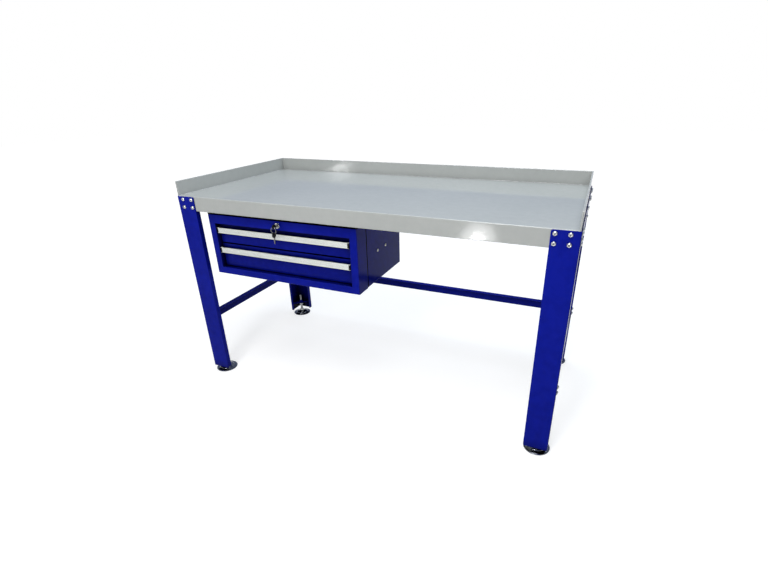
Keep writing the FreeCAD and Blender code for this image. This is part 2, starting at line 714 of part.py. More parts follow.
def make_end_rail():
    """Flat rail on the tray's end between the front and the rear leg."""
    body = new_body("end_rail_left")
    end = half_depth - leg_side_width - end_rail_play
    outline = oblong(-end, end, apron_bottom + end_rail_play, leg_top)
    block(body, "end_rail_plate", "YZ", outline, -half_width, end_rail_sheet - half_width)
    holes = [(0, r, frame_hole) for r in tray_rows]
    drill(body, "end_rail_holes", "YZ", holes, -half_width - 1, end_rail_sheet * 2 - half_width)
    corners = [(0, s * end, z) for s in (FRONT, REAR) for z in (apron_bottom + end_rail_play, leg_top)]
    round_edges(body, "end_rail_corners", end_rail_corner, corners)
    return body


def make_side_stretcher():
    """Folded angle from the front to the rear leg: web on the side flanges, flange on top."""
    body = new_body("stretcher_left")
    outer = leg_sheet - half_width
    section = [
        (outer, stretcher_bottom),
        (outer + stretcher_sheet, stretcher_bottom),
        (outer + stretcher_sheet, stretcher_top - stretcher_sheet),
        (outer + stretcher_flange, stretcher_top - stretcher_sheet),
        (outer + stretcher_flange, stretcher_top),
        (outer, stretcher_top),
    ]
    end = half_depth - leg_sheet - stretcher_end_gap
    block(body, "side_stretcher_section", "XZ", section, -end, end)
    holes = [(s * side_stretcher_column, r, frame_hole) for s in (FRONT, REAR) for r in stretcher_rows]
    drill(body, "side_stretcher_holes", "YZ", holes, outer - 1, outer + stretcher_sheet * 2)
    round_edges(body, "side_stretcher_fold", stretcher_sheet, [(1, outer, stretcher_top)])
    return body


def make_rear_stretcher():
    """The same angle along the back, its ends clear of the side stretchers' flanges."""
    body = new_body("stretcher_rear")
    outer = half_depth - leg_sheet
    section = [
        (outer, stretcher_bottom),
        (outer - stretcher_sheet, stretcher_bottom),
        (outer - stretcher_sheet, stretcher_top - stretcher_sheet),
        (outer - stretcher_flange, stretcher_top - stretcher_sheet),
        (outer - stretcher_flange, stretcher_top),
        (outer, stretcher_top),
    ]
    end = half_width - leg_sheet - stretcher_flange - stretcher_corner_gap
    block(body, "rear_stretcher_section", "YZ", section, -end, end)
    holes = [(s * rear_stretcher_column, r, frame_hole) for s in (LEFT, RIGHT) for r in stretcher_rows]
    drill(body, "rear_stretcher_holes", "XZ", holes, outer + 1, outer - stretcher_sheet * 2)
    round_edges(body, "rear_stretcher_fold", stretcher_sheet, [(0, outer, stretcher_top)])
    return body


def make_foot_bracket():
    """Plate across the inside of a leg with two gussets under it and a threaded boss on it."""
    body = new_body("foot_bracket_template", export=False)
    skin = leg_sheet
    reach_x = leg_face_width - skin
    reach_y = leg_side_width - skin
    plate = [
        (skin, skin),
        (reach_x, skin),
        (reach_x, reach_y - bracket_corner),
        (reach_x - bracket_corner, reach_y),
        (skin, reach_y),
    ]
    low, high = bracket_height, bracket_height + bracket_sheet
    block(body, "bracket_plate", "XY", plate, low, high)
    face_gusset = [(skin, low), (skin, low - bracket_gusset), (reach_x - skin, low)]
    block(body, "bracket_face_gusset", "XZ", face_gusset, skin, skin + bracket_sheet)
    side_gusset = [(skin, low), (skin, low - bracket_gusset), (reach_y - skin, low)]
    block(body, "bracket_side_gusset", "YZ", side_gusset, skin, skin + bracket_sheet)
    nut = polygon(6, foot_nut_flats, foot_inset_x, foot_inset_y)
    block(body, "bracket_boss", "XY", nut, high, high + bracket_boss)
    bore = [(foot_inset_x, foot_inset_y, foot_stem + foot_play * 2)]
    drill(body, "bracket_bore", "XY", bore, low - 1, high + bracket_boss + 1)
    return body


def make_foot(corner, x_side, y_side):
    """A levelling foot: a stepped pad and the stem that screws into the bracket."""
    at = (x_side * (half_width - foot_inset_x), y_side * (half_depth - foot_inset_y), 0)
    pad = new_body(f"foot_pad_{corner}", at)
    rim = polygon(PAD_SIDES, foot_pad)
    step = polygon(PAD_SIDES, foot_step)
    block(pad, f"pad_rim_{corner}", "XY", rim, 0, foot_pad_rim)
    loft(pad, f"pad_dish_{corner}", rim, step, foot_pad_rim, foot_step_low)
    block(pad, f"pad_step_{corner}", "XY", step, foot_step_low, foot_step_high)
    neck = polygon(PAD_SIDES, foot_neck)
    loft(pad, f"pad_cone_{corner}", step, neck, foot_step_high, foot_pad_height)
    stem = new_body(f"foot_stem_{corner}", at)
    collar_top = foot_pad_height + foot_collar_height
    block(stem, f"collar_{corner}", "XY", polygon(6, foot_collar_flats), foot_pad_height, collar_top)
    rounds(stem, f"stem_{corner}", "XY", [(0, 0, foot_stem)], collar_top, foot_stem_top)


def corner_copies(label, template):
    """A template made in one leg's corner, repeated in all four corners as one sub-part."""
    DOC.recompute()
    copies = []
    for x_side in (LEFT, RIGHT):
        for y_side in (FRONT, REAR):
            matrix = FreeCAD.Matrix()
            matrix.scale(-x_side, -y_side, 1)
            matrix.move(vector(x_side * half_width, y_side * half_depth, 0))
            copies.append(template.Shape.transformGeometry(matrix))
    feature = DOC.addObject("Part::Feature", label)
    feature.Label = label
    feature.Shape = Part.makeCompound(copies)
    SUBPARTS.append(feature)
    return feature


# ---------------------------------------------------------------------------------------------
# Fasteners
# ---------------------------------------------------------------------------------------------


def make_bolt(label, diameter, head, dome, length):
    """A button-head bolt with few faces: seat at the origin, head along +Z, shank along -Z."""
    body = new_body(label, export=False)
    block(body, f"{label}_shank", "XY", polygon(HOLE_SIDES, diameter), 0, -as_size(length))
    button = block(body, f"{label}_head", "XY", polygon(HEAD_SIDES, head), 0, dome)
    bind(button, "TaperAngle", -head_taper)
    return body


def make_nut(label, flats, bore, height):
    """A hexagon nut: seat at the origin, body along -Z."""
    body = new_body(label, export=False)
    block(body, f"{label}_hexagon", "XY", [polygon(6, flats), polygon(HOLE_SIDES, bore)], 0, -as_size(height))
    return body


def frame_joints():
    """Seat, outward direction and grip of every bolt that holds the bench frame together."""
    joints = []
    tray_grip = leg_sheet + tray_sheet
    stretcher_grip = leg_sheet + stretcher_sheet
    for x_side in (LEFT, RIGHT):
        side = x_side * half_width
        for row in tray_rows:
            joints.append((vector(side, 0, row), Vector(x_side, 0, 0), tray_grip))
        for y_side in (FRONT, REAR):
            face = y_side * half_depth
            for row in tray_rows:
                for column in face_columns:
                    joints.append((vector(x_side * column, face, row), Vector(0, y_side, 0), tray_grip))
                for column in side_columns:
                    joints.append((vector(side, y_side * column, row), Vector(x_side, 0, 0), tray_grip))
            for row in stretcher_rows:
                seat = vector(side, y_side * side_stretcher_column, row)
                joints.append((seat, Vector(x_side, 0, 0), stretcher_grip))
        for row in stretcher_rows:
            seat = vector(x_side * rear_stretcher_column, half_depth, row)
            joints.append((seat, Vector(0, 1, 0), stretcher_grip))
        for row in (-stiffener_pitch, 0):
            seat = vector(x_side * hanger_half_pitch - cabinet_offset, row, stiffener_bottom - hanger_sheet)
            joints.append((seat, Vector(0, 0, -1), hanger_sheet + tray_sheet))
    return joints


def fasten(name, joints, bolt, nut):
    """Bolts at their seats, and nuts behind the sheets that they grip."""
    group(f"{name}_bolts", bolt, [facing(seat, out) for seat, out, grip in joints])
    group(f"{name}_nuts", nut, [facing(seat - out * number(grip), out) for seat, out, grip in joints])


def make_frame_fasteners():
    """One size of bolt and nut for the worktop, the stretchers and the cabinet's hangers."""
    bolt = make_bolt("frame_bolt", frame_bolt, frame_bolt_head, frame_bolt_dome, frame_bolt_length)
    nut = make_nut("frame_nut", frame_nut_flats, frame_bolt + nut_play * 2, frame_nut_height)
    fasten("frame", frame_joints(), bolt, nut)


def make_foot_lock_nuts():
    """A lock nut on each stem, tight under its bracket."""
    nut = make_nut("foot_nut", foot_nut_flats, foot_stem + foot_play * 2, foot_nut_height)
    spots = []
    for x_side in (LEFT, RIGHT):
        for y_side in (FRONT, REAR):
            x = x_side * (half_width - foot_inset_x)
            y = y_side * (half_depth - foot_inset_y)
            spots.append(Placement(vector(x, y, bracket_height), Rotation()))
    group("foot_lock_nuts", nut, spots)


# ---------------------------------------------------------------------------------------------
# Cabinet, in its own frame: x from its middle, y back from its face, z up from its bottom
# ---------------------------------------------------------------------------------------------

opening_half = cabinet_width / 2 - stile_width
opening_low = bottom_rail
opening_high = cabinet_height - top_rail
carcass_half = cabinet_width / 2 - frame_sheet
carcass_low = frame_sheet
carcass_high = cabinet_height - frame_sheet
carcass_front = frame_depth - carcass_lap
carcass_inside = carcass_half - carcass_sheet
front_face = front_recess
front_back = front_recess + front_depth
front_half = opening_half - front_play
upper_front_high = opening_high - front_play
upper_front_low = upper_front_high - upper_front_height
lower_front_high = upper_front_low - front_play
lower_front_low = opening_low + front_play
upper_box_low = upper_front_low + drawer_foot_gap
lower_box_low = lower_front_low + drawer_foot_gap
slide_outer_face = opening_half - slide_set_back
drawer_half = slide_outer_face - slide_depth
drawer_back = cabinet_depth - drawer_back_gap
slide_end = cabinet_depth - slide_back_gap
upper_slide_axis = upper_box_low + upper_slide_rise
lower_slide_axis = lower_box_low + lower_slide_rise
carrier_middle = (upper_slide_axis + lower_slide_axis) / 2
lock_height = opening_high + lock_rise
cam_plane = lock_length + cam_play
cam_slot_front = cam_plane - cam_slot_play
cam_slot_back = cam_plane + cam_depth + cam_slot_play
cam_slot_left = -cam_width / 2 - cam_slot_play
cam_slot_right = cam_reach


def make_front_frame():
    """Collar with stiles, rails and a reveal folded back round the opening."""
    body = new_body("cabinet_front_frame", CABINET)
    half = cabinet_width / 2
    skin = frame_sheet
    outer = oblong(-half, half, 0, cabinet_height)
    block(body, "frame_blank", "XZ", outer, 0, frame_depth)
    opening = oblong(-opening_half, opening_half, opening_low, opening_high)
    block(body, "frame_opening", "XZ", opening, -1, frame_depth + 1, cut=True)
    tube = oblong(-opening_half - skin, opening_half + skin, opening_low - skin, opening_high + skin)
    inner = oblong(skin - half, half - skin, skin, cabinet_height - skin)
    block(body, "frame_hollow", "XZ", [inner, tube], skin, frame_depth + 1, cut=True)
    block(body, "frame_reveal_end", "XZ", tube, reveal_depth, frame_depth + 2, cut=True)
    lock = [(0, lock_height, lock_barrel + bolt_play / 2)]
    rounds(body, "frame_lock_hole", "XZ", lock, -1, skin * 2, cut=True)
    slot = oblong(cam_slot_left, cam_slot_right, cam_slot_front, cam_slot_back)
    block(body, "frame_cam_slot", "XY", slot, opening_high - 1, opening_high + skin * 2, cut=True)
    folds = [(2, -half, 0), (2, half, 0), (0, 0, 0), (0, 0, cabinet_height)]
    round_edges(body, "frame_outer_folds", frame_bend, folds)
    return body


def make_carcass():
    """Wrapped sheet behind the collar: top, bottom and sides, drilled for hangers and carriers."""
    body = new_body("cabinet_carcass", CABINET)
    skin = carcass_sheet
    outer = oblong(-carcass_half, carcass_half, carcass_low, carcass_high)
    inner = oblong(-carcass_inside, carcass_inside, carcass_low + skin, carcass_high - skin)
    block(body, "carcass_wrap", "XZ", [outer, inner], carcass_front, cabinet_depth)
    side = [(y, carrier_middle, cabinet_hole) for y in (carrier_screw_front, carrier_screw_rear)]
    drill(body, "carcass_left_holes", "YZ", side, -carcass_half - 1, skin * 2 - carcass_half)
    drill(body, "carcass_right_holes", "YZ", side, carcass_half + 1, carcass_half - skin * 2)
    top = [(x, y, cabinet_hole) for x, y in hanger_foot_bolts()]
    drill(body, "carcass_top_holes", "XY", top, carcass_high + 1, carcass_high - skin * 2)
    return body


def make_back_panel():
    """A shallow pan let into the back of the carcass, its flange pointing forwards."""
    body = new_body("cabinet_back_panel", CABINET)
    skin = carcass_sheet
    low, high = carcass_low + skin, carcass_high - skin
    outer = oblong(-carcass_inside, carcass_inside, low, high)
    block(body, "back_blank", "XZ", outer, cabinet_depth - back_flange, cabinet_depth)
    inner = oblong(skin - carcass_inside, carcass_inside - skin, low + skin, high - skin)
    block(body, "back_hollow", "XZ", inner, cabinet_depth - back_flange - 1, cabinet_depth - skin, cut=True)
    return body


hanger_start = frame_depth + hanger_margin
hanger_finish = cabinet_depth - hanger_margin
hanger_top = stiffener_bottom - cabinet_bottom
hanger_bolt_ends = (hanger_start + hanger_foot, hanger_finish - hanger_foot)


def hanger_foot_bolts():
    """Where each hanger's outward foot is bolted to the carcass."""
    reach = hanger_half_pitch + hanger_crown / 2 + hanger_foot / 2
    return [(s * reach, y) for s in (LEFT, RIGHT) for y in hanger_bolt_ends]


def make_hangers():
    """Two hat rails, crown up against the hat channels and feet on the carcass."""
    body = new_body("cabinet_hangers", CABINET)
    skin = hanger_sheet
    half = hanger_crown / 2
    edge = half + hanger_foot
    low, high = carcass_high, hanger_top
    section = [
        (-edge, low),
        (-half, low),
        (-half + skin, low),
        (-half + skin, high - skin),
        (half - skin, high - skin),
        (half - skin, low),
        (half, low),
        (edge, low),
        (edge, low + skin),
        (half, low + skin),
        (half, high),
        (-half, high),
        (-half, low + skin),
        (-edge, low + skin),
    ]
    del section[6], section[1]
    placed = [(x + hanger_half_pitch, z) for x, z in section]
    rail = block(body, "hanger_section", "XZ", placed, hanger_start, hanger_finish)
    rows = [row_in_cabinet(-stiffener_pitch), row_in_cabinet(0)]
    crown = [(hanger_half_pitch, y, frame_hole) for y in rows]
    crown_holes = drill(body, "hanger_crown_holes", "XY", crown, high + 1, high - skin * 2)
    feet = [(x, y, cabinet_hole) for x, y in hanger_foot_bolts()[2:]]
    foot_holes = drill(body, "hanger_foot_holes", "XY", feet, low - 1, low + skin * 2)
    mirror_in_body(body, [rail, crown_holes, foot_holes])
    return body


def row_in_cabinet(y):
    """A bench Y place as a distance back from the cabinet's face."""
    return y - CABINET[1]


def make_carrier():
    """Folded sheet on the cabinet's side with a lip up and a lip down for the two slides."""
    body = new_body("slide_carrier_left", CABINET)
    skin = carrier_sheet
    wall = -carcass_inside
    face = -slide_outer_face
    high = carrier_middle + carrier_web / 2
    low = carrier_middle - carrier_web / 2
    top = upper_slide_axis + slide_height / 2
    bottom = lower_slide_axis - slide_height / 2
    section = [
        (wall, low),
        (face - skin, low),
        (face - skin, bottom),
        (face, bottom),
        (face, low + skin),
        (wall + skin, low + skin),
        (wall + skin, high - skin),
        (face, high - skin),
        (face, top),
        (face - skin, top),
        (face - skin, high),
        (wall, high),
    ]
    block(body, "carrier_section", "XZ", section, slide_start, slide_end)
    holes = [(y, carrier_middle, cabinet_hole) for y in (carrier_screw_front, carrier_screw_rear)]
    drill(body, "carrier_holes", "YZ", holes, wall - 1, wall + skin * 2)
    return body


def make_slides(prefix, axis):
    """Three nested channels on each side: outer on the carrier, middle, inner on the drawer."""
    skin = slide_sheet
    step = slide_sheet + slide_play
    face = slide_outer_face
    tip = drawer_half + skin + slide_play
    outer_half = slide_height / 2
    for kind, web, free, half in (
        ("outer", face, tip, outer_half),
        ("middle", face - step, tip, outer_half - step),
        ("inner", drawer_half, face - step * 2, outer_half - step * 2),
    ):
        body = new_body(f"{prefix}_slide_{kind}s", CABINET)
        inside = web - skin if kind != "inner" else web + skin
        section = [
            (web, axis - half),
            (free, axis - half),
            (free, axis - half + skin),
            (inside, axis - half + skin),
            (inside, axis + half - skin),
            (free, axis + half - skin),
            (free, axis + half),
            (web, axis + half),
        ]
        member = block(body, f"{prefix}_{kind}_section", "XZ", section, slide_start, slide_end)
        mirror_in_body(body, [member])


def make_drawer_box(prefix, low, high):
    """Folded pan with a rim turned in round its top edge."""
    body = new_body(f"{prefix}_drawer_box", CABINET)
    skin = drawer_sheet
    front, back = front_back, drawer_back
    outer = oblong(-drawer_half, drawer_half, front, back)
    block(body, f"{prefix}_box_blank", "XY", outer, low, high)
    inner = oblong(skin - drawer_half, drawer_half - skin, front + skin, back - skin)
    block(body, f"{prefix}_box_hollow", "XY", inner, low + skin, high - skin, cut=True)
    rim = drawer_rim
    mouth = oblong(rim - drawer_half, drawer_half - rim, front + rim, back - rim)
    block(body, f"{prefix}_box_mouth", "XY", mouth, high - skin * 2, high + 1, cut=True)
    screws = [(x, z, front_screw + nut_play * 2) for x, z in front_screw_spots(low, high)]
    drill(body, f"{prefix}_box_holes", "XZ", screws, front - 1, front + skin * 2)
    return body


def front_screw_spots(low, high):
    """The four screws that hold a drawer front's lips to its box, box from low to high."""
    reach = drawer_half - front_screw_inset
    below = (front_lip - drawer_foot_gap) / 2
    above = front_upper_lip - drawer_head_gap - front_screw
    return [(s * reach, z) for s in (LEFT, RIGHT) for z in (low + below + drawer_sheet, high - above)]


def make_drawer_front(prefix, low, high):
    """Folded front: a face, a fold on all four sides, and lips against the drawer box."""
    body = new_body(f"{prefix}_drawer_front", CABINET)
    skin = front_sheet
    outer = oblong(-front_half, front_half, low, high)
    block(body, f"{prefix}_front_blank", "XZ", outer, front_face, front_back)
    inner = oblong(skin - front_half, front_half - skin, low + skin, high - skin)
    block(body, f"{prefix}_front_hollow", "XZ", inner, front_face + skin, front_back - skin, cut=True)
    window = oblong(skin - front_half, front_half - skin, low + front_lip, high - front_upper_lip)
    block(body, f"{prefix}_front_window", "XZ", window, front_back - skin * 2, front_back + 1, cut=True)
    box_low, box_high = low + drawer_foot_gap, high - drawer_head_gap
    screws = [(x, z, front_screw + nut_play * 2) for x, z in front_screw_spots(box_low, box_high)]
    drill(body, f"{prefix}_front_holes", "XZ", screws, front_back - skin * 2, front_back + 1)
    if prefix == "upper":
        slot = oblong(cam_slot_left, cam_slot_right, cam_slot_front, cam_slot_back)
        block(body, "front_cam_slot", "XY", slot, high - skin * 2, high + 1, cut=True)
    edge = [(2, -front_half, front_face), (2, front_half, front_face)]
    edge += [(0, front_face, low), (0, front_face, high)]
    round_edges(body, f"{prefix}_front_folds", front_sheet, edge)
    return body


handle_front = handle_set_in
handle_end = opening_half - handle_side_gap
handle_body_end = handle_end - cap_width


def make_handle(prefix, front_high):
    """Aluminium pull: a back web on the drawer front, a floor, and a lip with a beaded edge."""
    body = new_body(f"{prefix}_drawer_handle", CABINET)
    high = front_high - handle_drop
    low = high - handle_height
    wall = handle_wall
    lip = handle_front + wall
    bead = handle_front + handle_bead
    section = [
        (handle_front, low),
        (front_face, low),
        (front_face, high),
        (front_face - wall, high),
        (front_face - wall, low + wall),
        (lip, low + wall),
        (lip, high - handle_bead),
        (bead, high - wall),
        (bead, high),
        (handle_front, high),
    ]
    block(body, f"{prefix}_handle_section", "YZ", section, -handle_body_end, handle_body_end)
    reach = handle_body_end - handle_rivet_inset
    spots = [(x, low + handle_rivet_rise) for x in (-reach, as_size(0), reach)]
    holes = [(x, z, handle_rivet + nut_play * 2) for x, z in spots]
    drill(body, f"{prefix}_handle_holes", "XZ", holes, front_face - wall * 2, front_face + 1)
    round_edges(body, f"{prefix}_handle_nose", handle_nose, [(0, handle_front, low), (0, handle_front, high)])
    caps = new_body(f"{prefix}_handle_caps", CABINET)
    outline = oblong(handle_front, front_face, low, high)
    cap = block(caps, f"{prefix}_cap", "YZ", outline, handle_body_end, handle_end)
    mirror_in_body(caps, [cap])
    rivet = make_bolt(f"{prefix}_rivet", handle_rivet, handle_rivet_head, handle_rivet_dome, wall)
    seats = [vector(x, front_face - wall, z) + vector(*CABINET) for x, z in spots]
    group(f"{prefix}_handle_rivets", rivet, [facing(seat, Vector(0, -1, 0)) for seat in seats])


def make_drawer(prefix, low, high):
    """Everything that one drawer carries."""
    box_low, box_high = low + drawer_foot_gap, high - drawer_head_gap
    make_drawer_box(prefix, box_low, box_high)
    make_drawer_front(prefix, low, high)
    make_handle(prefix, high)
    label = f"{prefix}_screw"
    screw = make_bolt(label, front_screw, front_screw_head, front_screw_dome, front_screw_length)
    seats = []
    for x, z in front_screw_spots(box_low, box_high):
        seat = vector(x, front_back + drawer_sheet, z) + vector(*CABINET)
        seats.append(facing(seat, Vector(0, 1, 0)))
    group(f"{prefix}_front_screws", screw, seats)


def make_cabinet_fasteners():
    """Hanger feet to the cabinet's top, and slide carriers to its sides, with one size of bolt."""
    bolt = make_bolt("cabinet_bolt", cabinet_bolt, cabinet_bolt_head, cabinet_bolt_dome, cabinet_bolt_length)
    nut = make_nut("cabinet_nut", cabinet_nut_flats, cabinet_bolt + nut_play * 2, cabinet_nut_height)
    joints = []
    for x, y in hanger_foot_bolts():
        seat = vector(x, y, carcass_high + hanger_sheet) + vector(*CABINET)
        joints.append((seat, Vector(0, 0, 1), hanger_sheet + carcass_sheet))
    for side in (LEFT, RIGHT):
        for y in (carrier_screw_front, carrier_screw_rear):
            seat = vector(side * carcass_half, y, carrier_middle) + vector(*CABINET)
            joints.append((seat, Vector(side, 0, 0), carcass_sheet + carrier_sheet))
    fasten("cabinet", joints, bolt, nut)


# ---------------------------------------------------------------------------------------------
# Lock and keys; lock pieces are turned round their own axis and laid along the cabinet's depth
# ---------------------------------------------------------------------------------------------


def cabinet_y_circle(body, name, diameter, start, finish, cut=False):
    """A cylinder or bore on the lock's axis, between two depths of the cabinet."""
    return rounds(body, name, "XZ", [(0, lock_height, diameter)], start, finish, cut)


def make_lock():
    """Housing with its nut behind the rail, the plug that turns in it, the cam and its screw."""
    housing = new_body("lock_housing", CABINET)
    cabinet_y_circle(housing, "lock_flange_disc", lock_flange, -lock_flange_depth, 0)
    cabinet_y_circle(housing, "lock_barrel_body", lock_barrel, 0, lock_length)
    bore = lock_bore + plug_play * 2
    cabinet_y_circle(housing, "lock_bore_cut", bore, -lock_flange_depth - 1, lock_length + 1, cut=True)
    nut = new_body("lock_nut", CABINET)
    hexa = polygon(6, lock_nut_flats, 0, lock_height)
    block(nut, "lock_nut_hexagon", "XZ", hexa, frame_sheet, frame_sheet + lock_nut_depth)
    wide = lock_barrel + plug_play * 2
    cabinet_y_circle(nut, "lock_nut_bore", wide, 0, frame_sheet + lock_nut_depth + 1, cut=True)
    plug = new_body("lock_plug", CABINET)
    face = -lock_flange_depth - plug_face_depth
    cabinet_y_circle(plug, "plug_face_disc", plug_flange, face, -lock_flange_depth - plug_face_play)
    cabinet_y_circle(plug, "plug_body", lock_bore, face, cam_plane)
    slot_half = blade_depth / 2 + keyway_play
    reach = blade_width / 2 + keyway_play
    keyway = oblong(-slot_half, slot_half, lock_height - reach, lock_height + reach)
    block(plug, "plug_keyway", "XZ", keyway, face - 1, bow_standoff_depth() + keyway_play, cut=True)
    cam = new_body("lock_cam", CABINET)
    half = cam_width / 2
    tip = cam_reach - half
    arm = oblong(0, tip, lock_height - half, lock_height + half)
    block(cam, "cam_arm", "XZ", arm, cam_plane, cam_plane + cam_depth)
    ends = [(0, lock_height, cam_width), (tip, lock_height, cam_width)]
    for name, end in zip(("cam_heel", "cam_tip"), ends):
        rounds(cam, name, "XZ", [end], cam_plane, cam_plane + cam_depth)
    cabinet_y_circle(cam, "cam_hole", cabinet_hole, cam_plane - 1, cam_plane + cam_depth + 1, cut=True)
    screw = new_body("cam_screw", CABINET)
    seat = cam_plane + cam_depth
    cabinet_y_circle(screw, "cam_screw_head", cabinet_bolt_head, seat, seat + cam_depth)
    cabinet_y_circle(screw, "cam_screw_shank", cabinet_bolt, cam_plane, seat)


def bow_standoff_depth():
    """How far behind the cabinet's face the tip of the key in the lock reaches."""
    return blade_length - bow_standoff


def make_key(prefix, at, hanging):
    """A flat key: round moulded bow with a hole, and a notched blade.

    The key in the lock points along +Y, a hanging key points down.
    """
    bow = new_body(f"{prefix}_bow", at)
    blade = new_body(f"{prefix}_blade", at)
    half = bow_depth / 2
    width = blade_width / 2
    root = bow_width / 2 - blade_root
    start = bow_width / 2
    finish = start + blade_length
    profile = [(root, -width), (finish - width, -width), (finish, 0)]
    profile += [(finish - key_tip, key_tip)]
    for i in reversed(range(KEY_CUT_CORNERS)):
        rise = width if i % 2 else width - key_cut_depth
        profile.append((start + key_first_cut + key_cut_pitch * i, rise))
    profile += [(start + key_shoulder, width), (root, width)]
    if hanging:
        blade_points = [(up, -along) for along, up in profile]
        hole = (0, bow_hole_offset)
    else:
        blade_points = [(along, up) for along, up in profile]
        hole = (-bow_hole_offset, 0)
    rounds(bow, f"{prefix}_disc", "YZ", [(0, 0, bow_width)], -half, half)
    rounds(bow, f"{prefix}_hole", "YZ", [(*hole, bow_hole)], -half - 1, half + 1, cut=True)
    slot = blade_depth / 2
    mouth = start + OVERCUT
    deep = [(root, -width), (mouth, -width), (mouth, width), (root, width)]
    pocket = [(up, -along) for along, up in deep] if hanging else deep
    block(bow, f"{prefix}_socket", "YZ", pocket, -slot, slot, cut=True)
    block(blade, f"{prefix}_flat", "YZ", blade_points, -slot, slot)


def make_keys():
    """The key in the lock, the ring through its bow, and the spare key that hangs on the ring."""
    lock_axis = (CABINET[0], CABINET[1], CABINET[2] + lock_height)
    bow_centre = (lock_axis[0], lock_axis[1] - bow_standoff - bow_width / 2, lock_axis[2])
    make_key("key", bow_centre, hanging=False)
    wire_drop = bow_hole / 2 - ring_wire / 2 - ring_play
    ring_y = bow_centre[1] - bow_hole_offset
    ring_top = lock_axis[2] - wire_drop
    ring = new_body("key_ring", (lock_axis[0], ring_y, ring_top - ring_radius))
    wide = polygon(RING_SIDES, ring_radius * 2 + ring_wire)
    narrow = polygon(RING_SIDES, ring_radius * 2 - ring_wire)
    block(ring, "ring_wire_loop", "XZ", [wide, narrow], -ring_wire / 2, ring_wire / 2)
    spare_centre_z = ring_top - ring_radius * 2 - wire_drop - bow_hole_offset
    make_key("spare_key", (lock_axis[0], ring_y, spare_centre_z), hanging=True)


# ---------------------------------------------------------------------------------------------
# Build, check and export
# ---------------------------------------------------------------------------------------------


def build():
    """Make every sub-part."""
    make_worktop_tray()
    make_stiffeners()
    front_leg = make_left_leg("leg_front_left", FRONT)
    mirrored_part("leg_front_right", front_leg)
    rear_leg = make_left_leg("leg_rear_left", REAR)
    mirrored_part("leg_rear_right", rear_leg)
    end_rail = make_end_rail()
    mirrored_part("end_rail_right", end_rail)
    side = make_side_stretcher()
    mirrored_part("stretcher_right", side)
    make_rear_stretcher()
    corner_copies("foot_brackets", make_foot_bracket())
    make_foot_lock_nuts()
    for y_name, y_side in (("front", FRONT), ("rear", REAR)):
        for x_name, x_side in (("left", LEFT), ("right", RIGHT)):
            make_foot(f"{y_name}_{x_name}", x_side, y_side)
    make_frame_fasteners()
    make_front_frame()
    make_carcass()
    make_back_panel()
    make_hangers()
    carrier = make_carrier()
    mirrored_part("slide_carrier_right", carrier, CABINET[0])
    make_cabinet_fasteners()
    for prefix, axis, low, high in (
        ("upper", upper_slide_axis, upper_front_low, upper_front_high),
        ("lower", lower_slide_axis, lower_front_low, lower_front_high),
    ):
        make_slides(prefix, axis)
        make_drawer(prefix, low, high)
    make_lock()
    make_keys()
    DOC.recompute()


def check_and_export():
    """Stop on any failed object or empty cut, then write one file per sub-part."""
    for item in DOC.Objects:
        if "Invalid" in item.State or "Error" in item.State:
            raise RuntimeError(f"{item.Label} failed: {item.State}")
    for before, feature in CUTS:
        if not feature.Shape.Volume < before.Shape.Volume - 1e-3:
            raise RuntimeError(f"{feature.Label} cuts nothing")
    os.makedirs("parts", exist_ok=True)
    for part in SUBPARTS:
        shape = part.Shape
        if shape.isNull() or not shape.isValid():
            raise RuntimeError(f"{part.Label} has no valid shape")
        shape.exportStep(f"parts/{part.Label}.step")
        box = shape.BoundBox
        print(
            f"{part.Label:26s} solids {len(shape.Solids):2d}  "
            f"x {box.XMin:8.1f} {box.XMax:8.1f}  y {box.YMin:8.1f} {box.YMax:8.1f}  "
            f"z {box.ZMin:8.1f} {box.ZMax:8.1f}"
        )


build()
check_and_export()
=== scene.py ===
# %% [markdown]
# A workshop bench in painted sheet steel stands on four folded legs. Its tray-shaped worktop is
# light grey enamel, the frame and the two-drawer cabinet are blue enamel, and the fasteners are
# zinc plated. The CAD model already holds every folded sheet at its true size, so those sheets stay
# as they are and only get their finish here. Small turned and moulded pieces are made again with
# finer meshes, because a round bolt head or a cast foot catches light that a few flat facets can't.

# %% Load the bench
import math

import bmesh
import bpy
import numpy as np
from mathutils import Matrix, Vector


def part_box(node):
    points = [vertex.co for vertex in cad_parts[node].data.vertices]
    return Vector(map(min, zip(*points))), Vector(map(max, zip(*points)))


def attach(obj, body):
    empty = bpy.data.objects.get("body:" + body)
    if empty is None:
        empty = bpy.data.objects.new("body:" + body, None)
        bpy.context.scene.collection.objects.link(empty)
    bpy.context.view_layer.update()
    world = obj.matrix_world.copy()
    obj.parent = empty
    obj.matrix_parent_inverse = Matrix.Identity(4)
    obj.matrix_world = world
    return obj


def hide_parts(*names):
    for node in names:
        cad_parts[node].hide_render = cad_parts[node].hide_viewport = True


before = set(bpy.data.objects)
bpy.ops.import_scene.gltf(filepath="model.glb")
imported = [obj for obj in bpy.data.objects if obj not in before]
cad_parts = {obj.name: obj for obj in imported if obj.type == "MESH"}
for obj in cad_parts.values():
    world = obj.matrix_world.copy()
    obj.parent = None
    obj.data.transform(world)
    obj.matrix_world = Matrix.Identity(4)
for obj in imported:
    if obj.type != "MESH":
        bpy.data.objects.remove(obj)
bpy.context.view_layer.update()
MM = 0.001

# %% [markdown]
# The camera comes first, because everything after it is judged through it. A wide lens stands close
# to the bench, a little above its rim and to the right of its middle. The camera could be aimed at
# a target, but its directions are written out instead, so that the small tilt of a hand-held camera
# is kept.

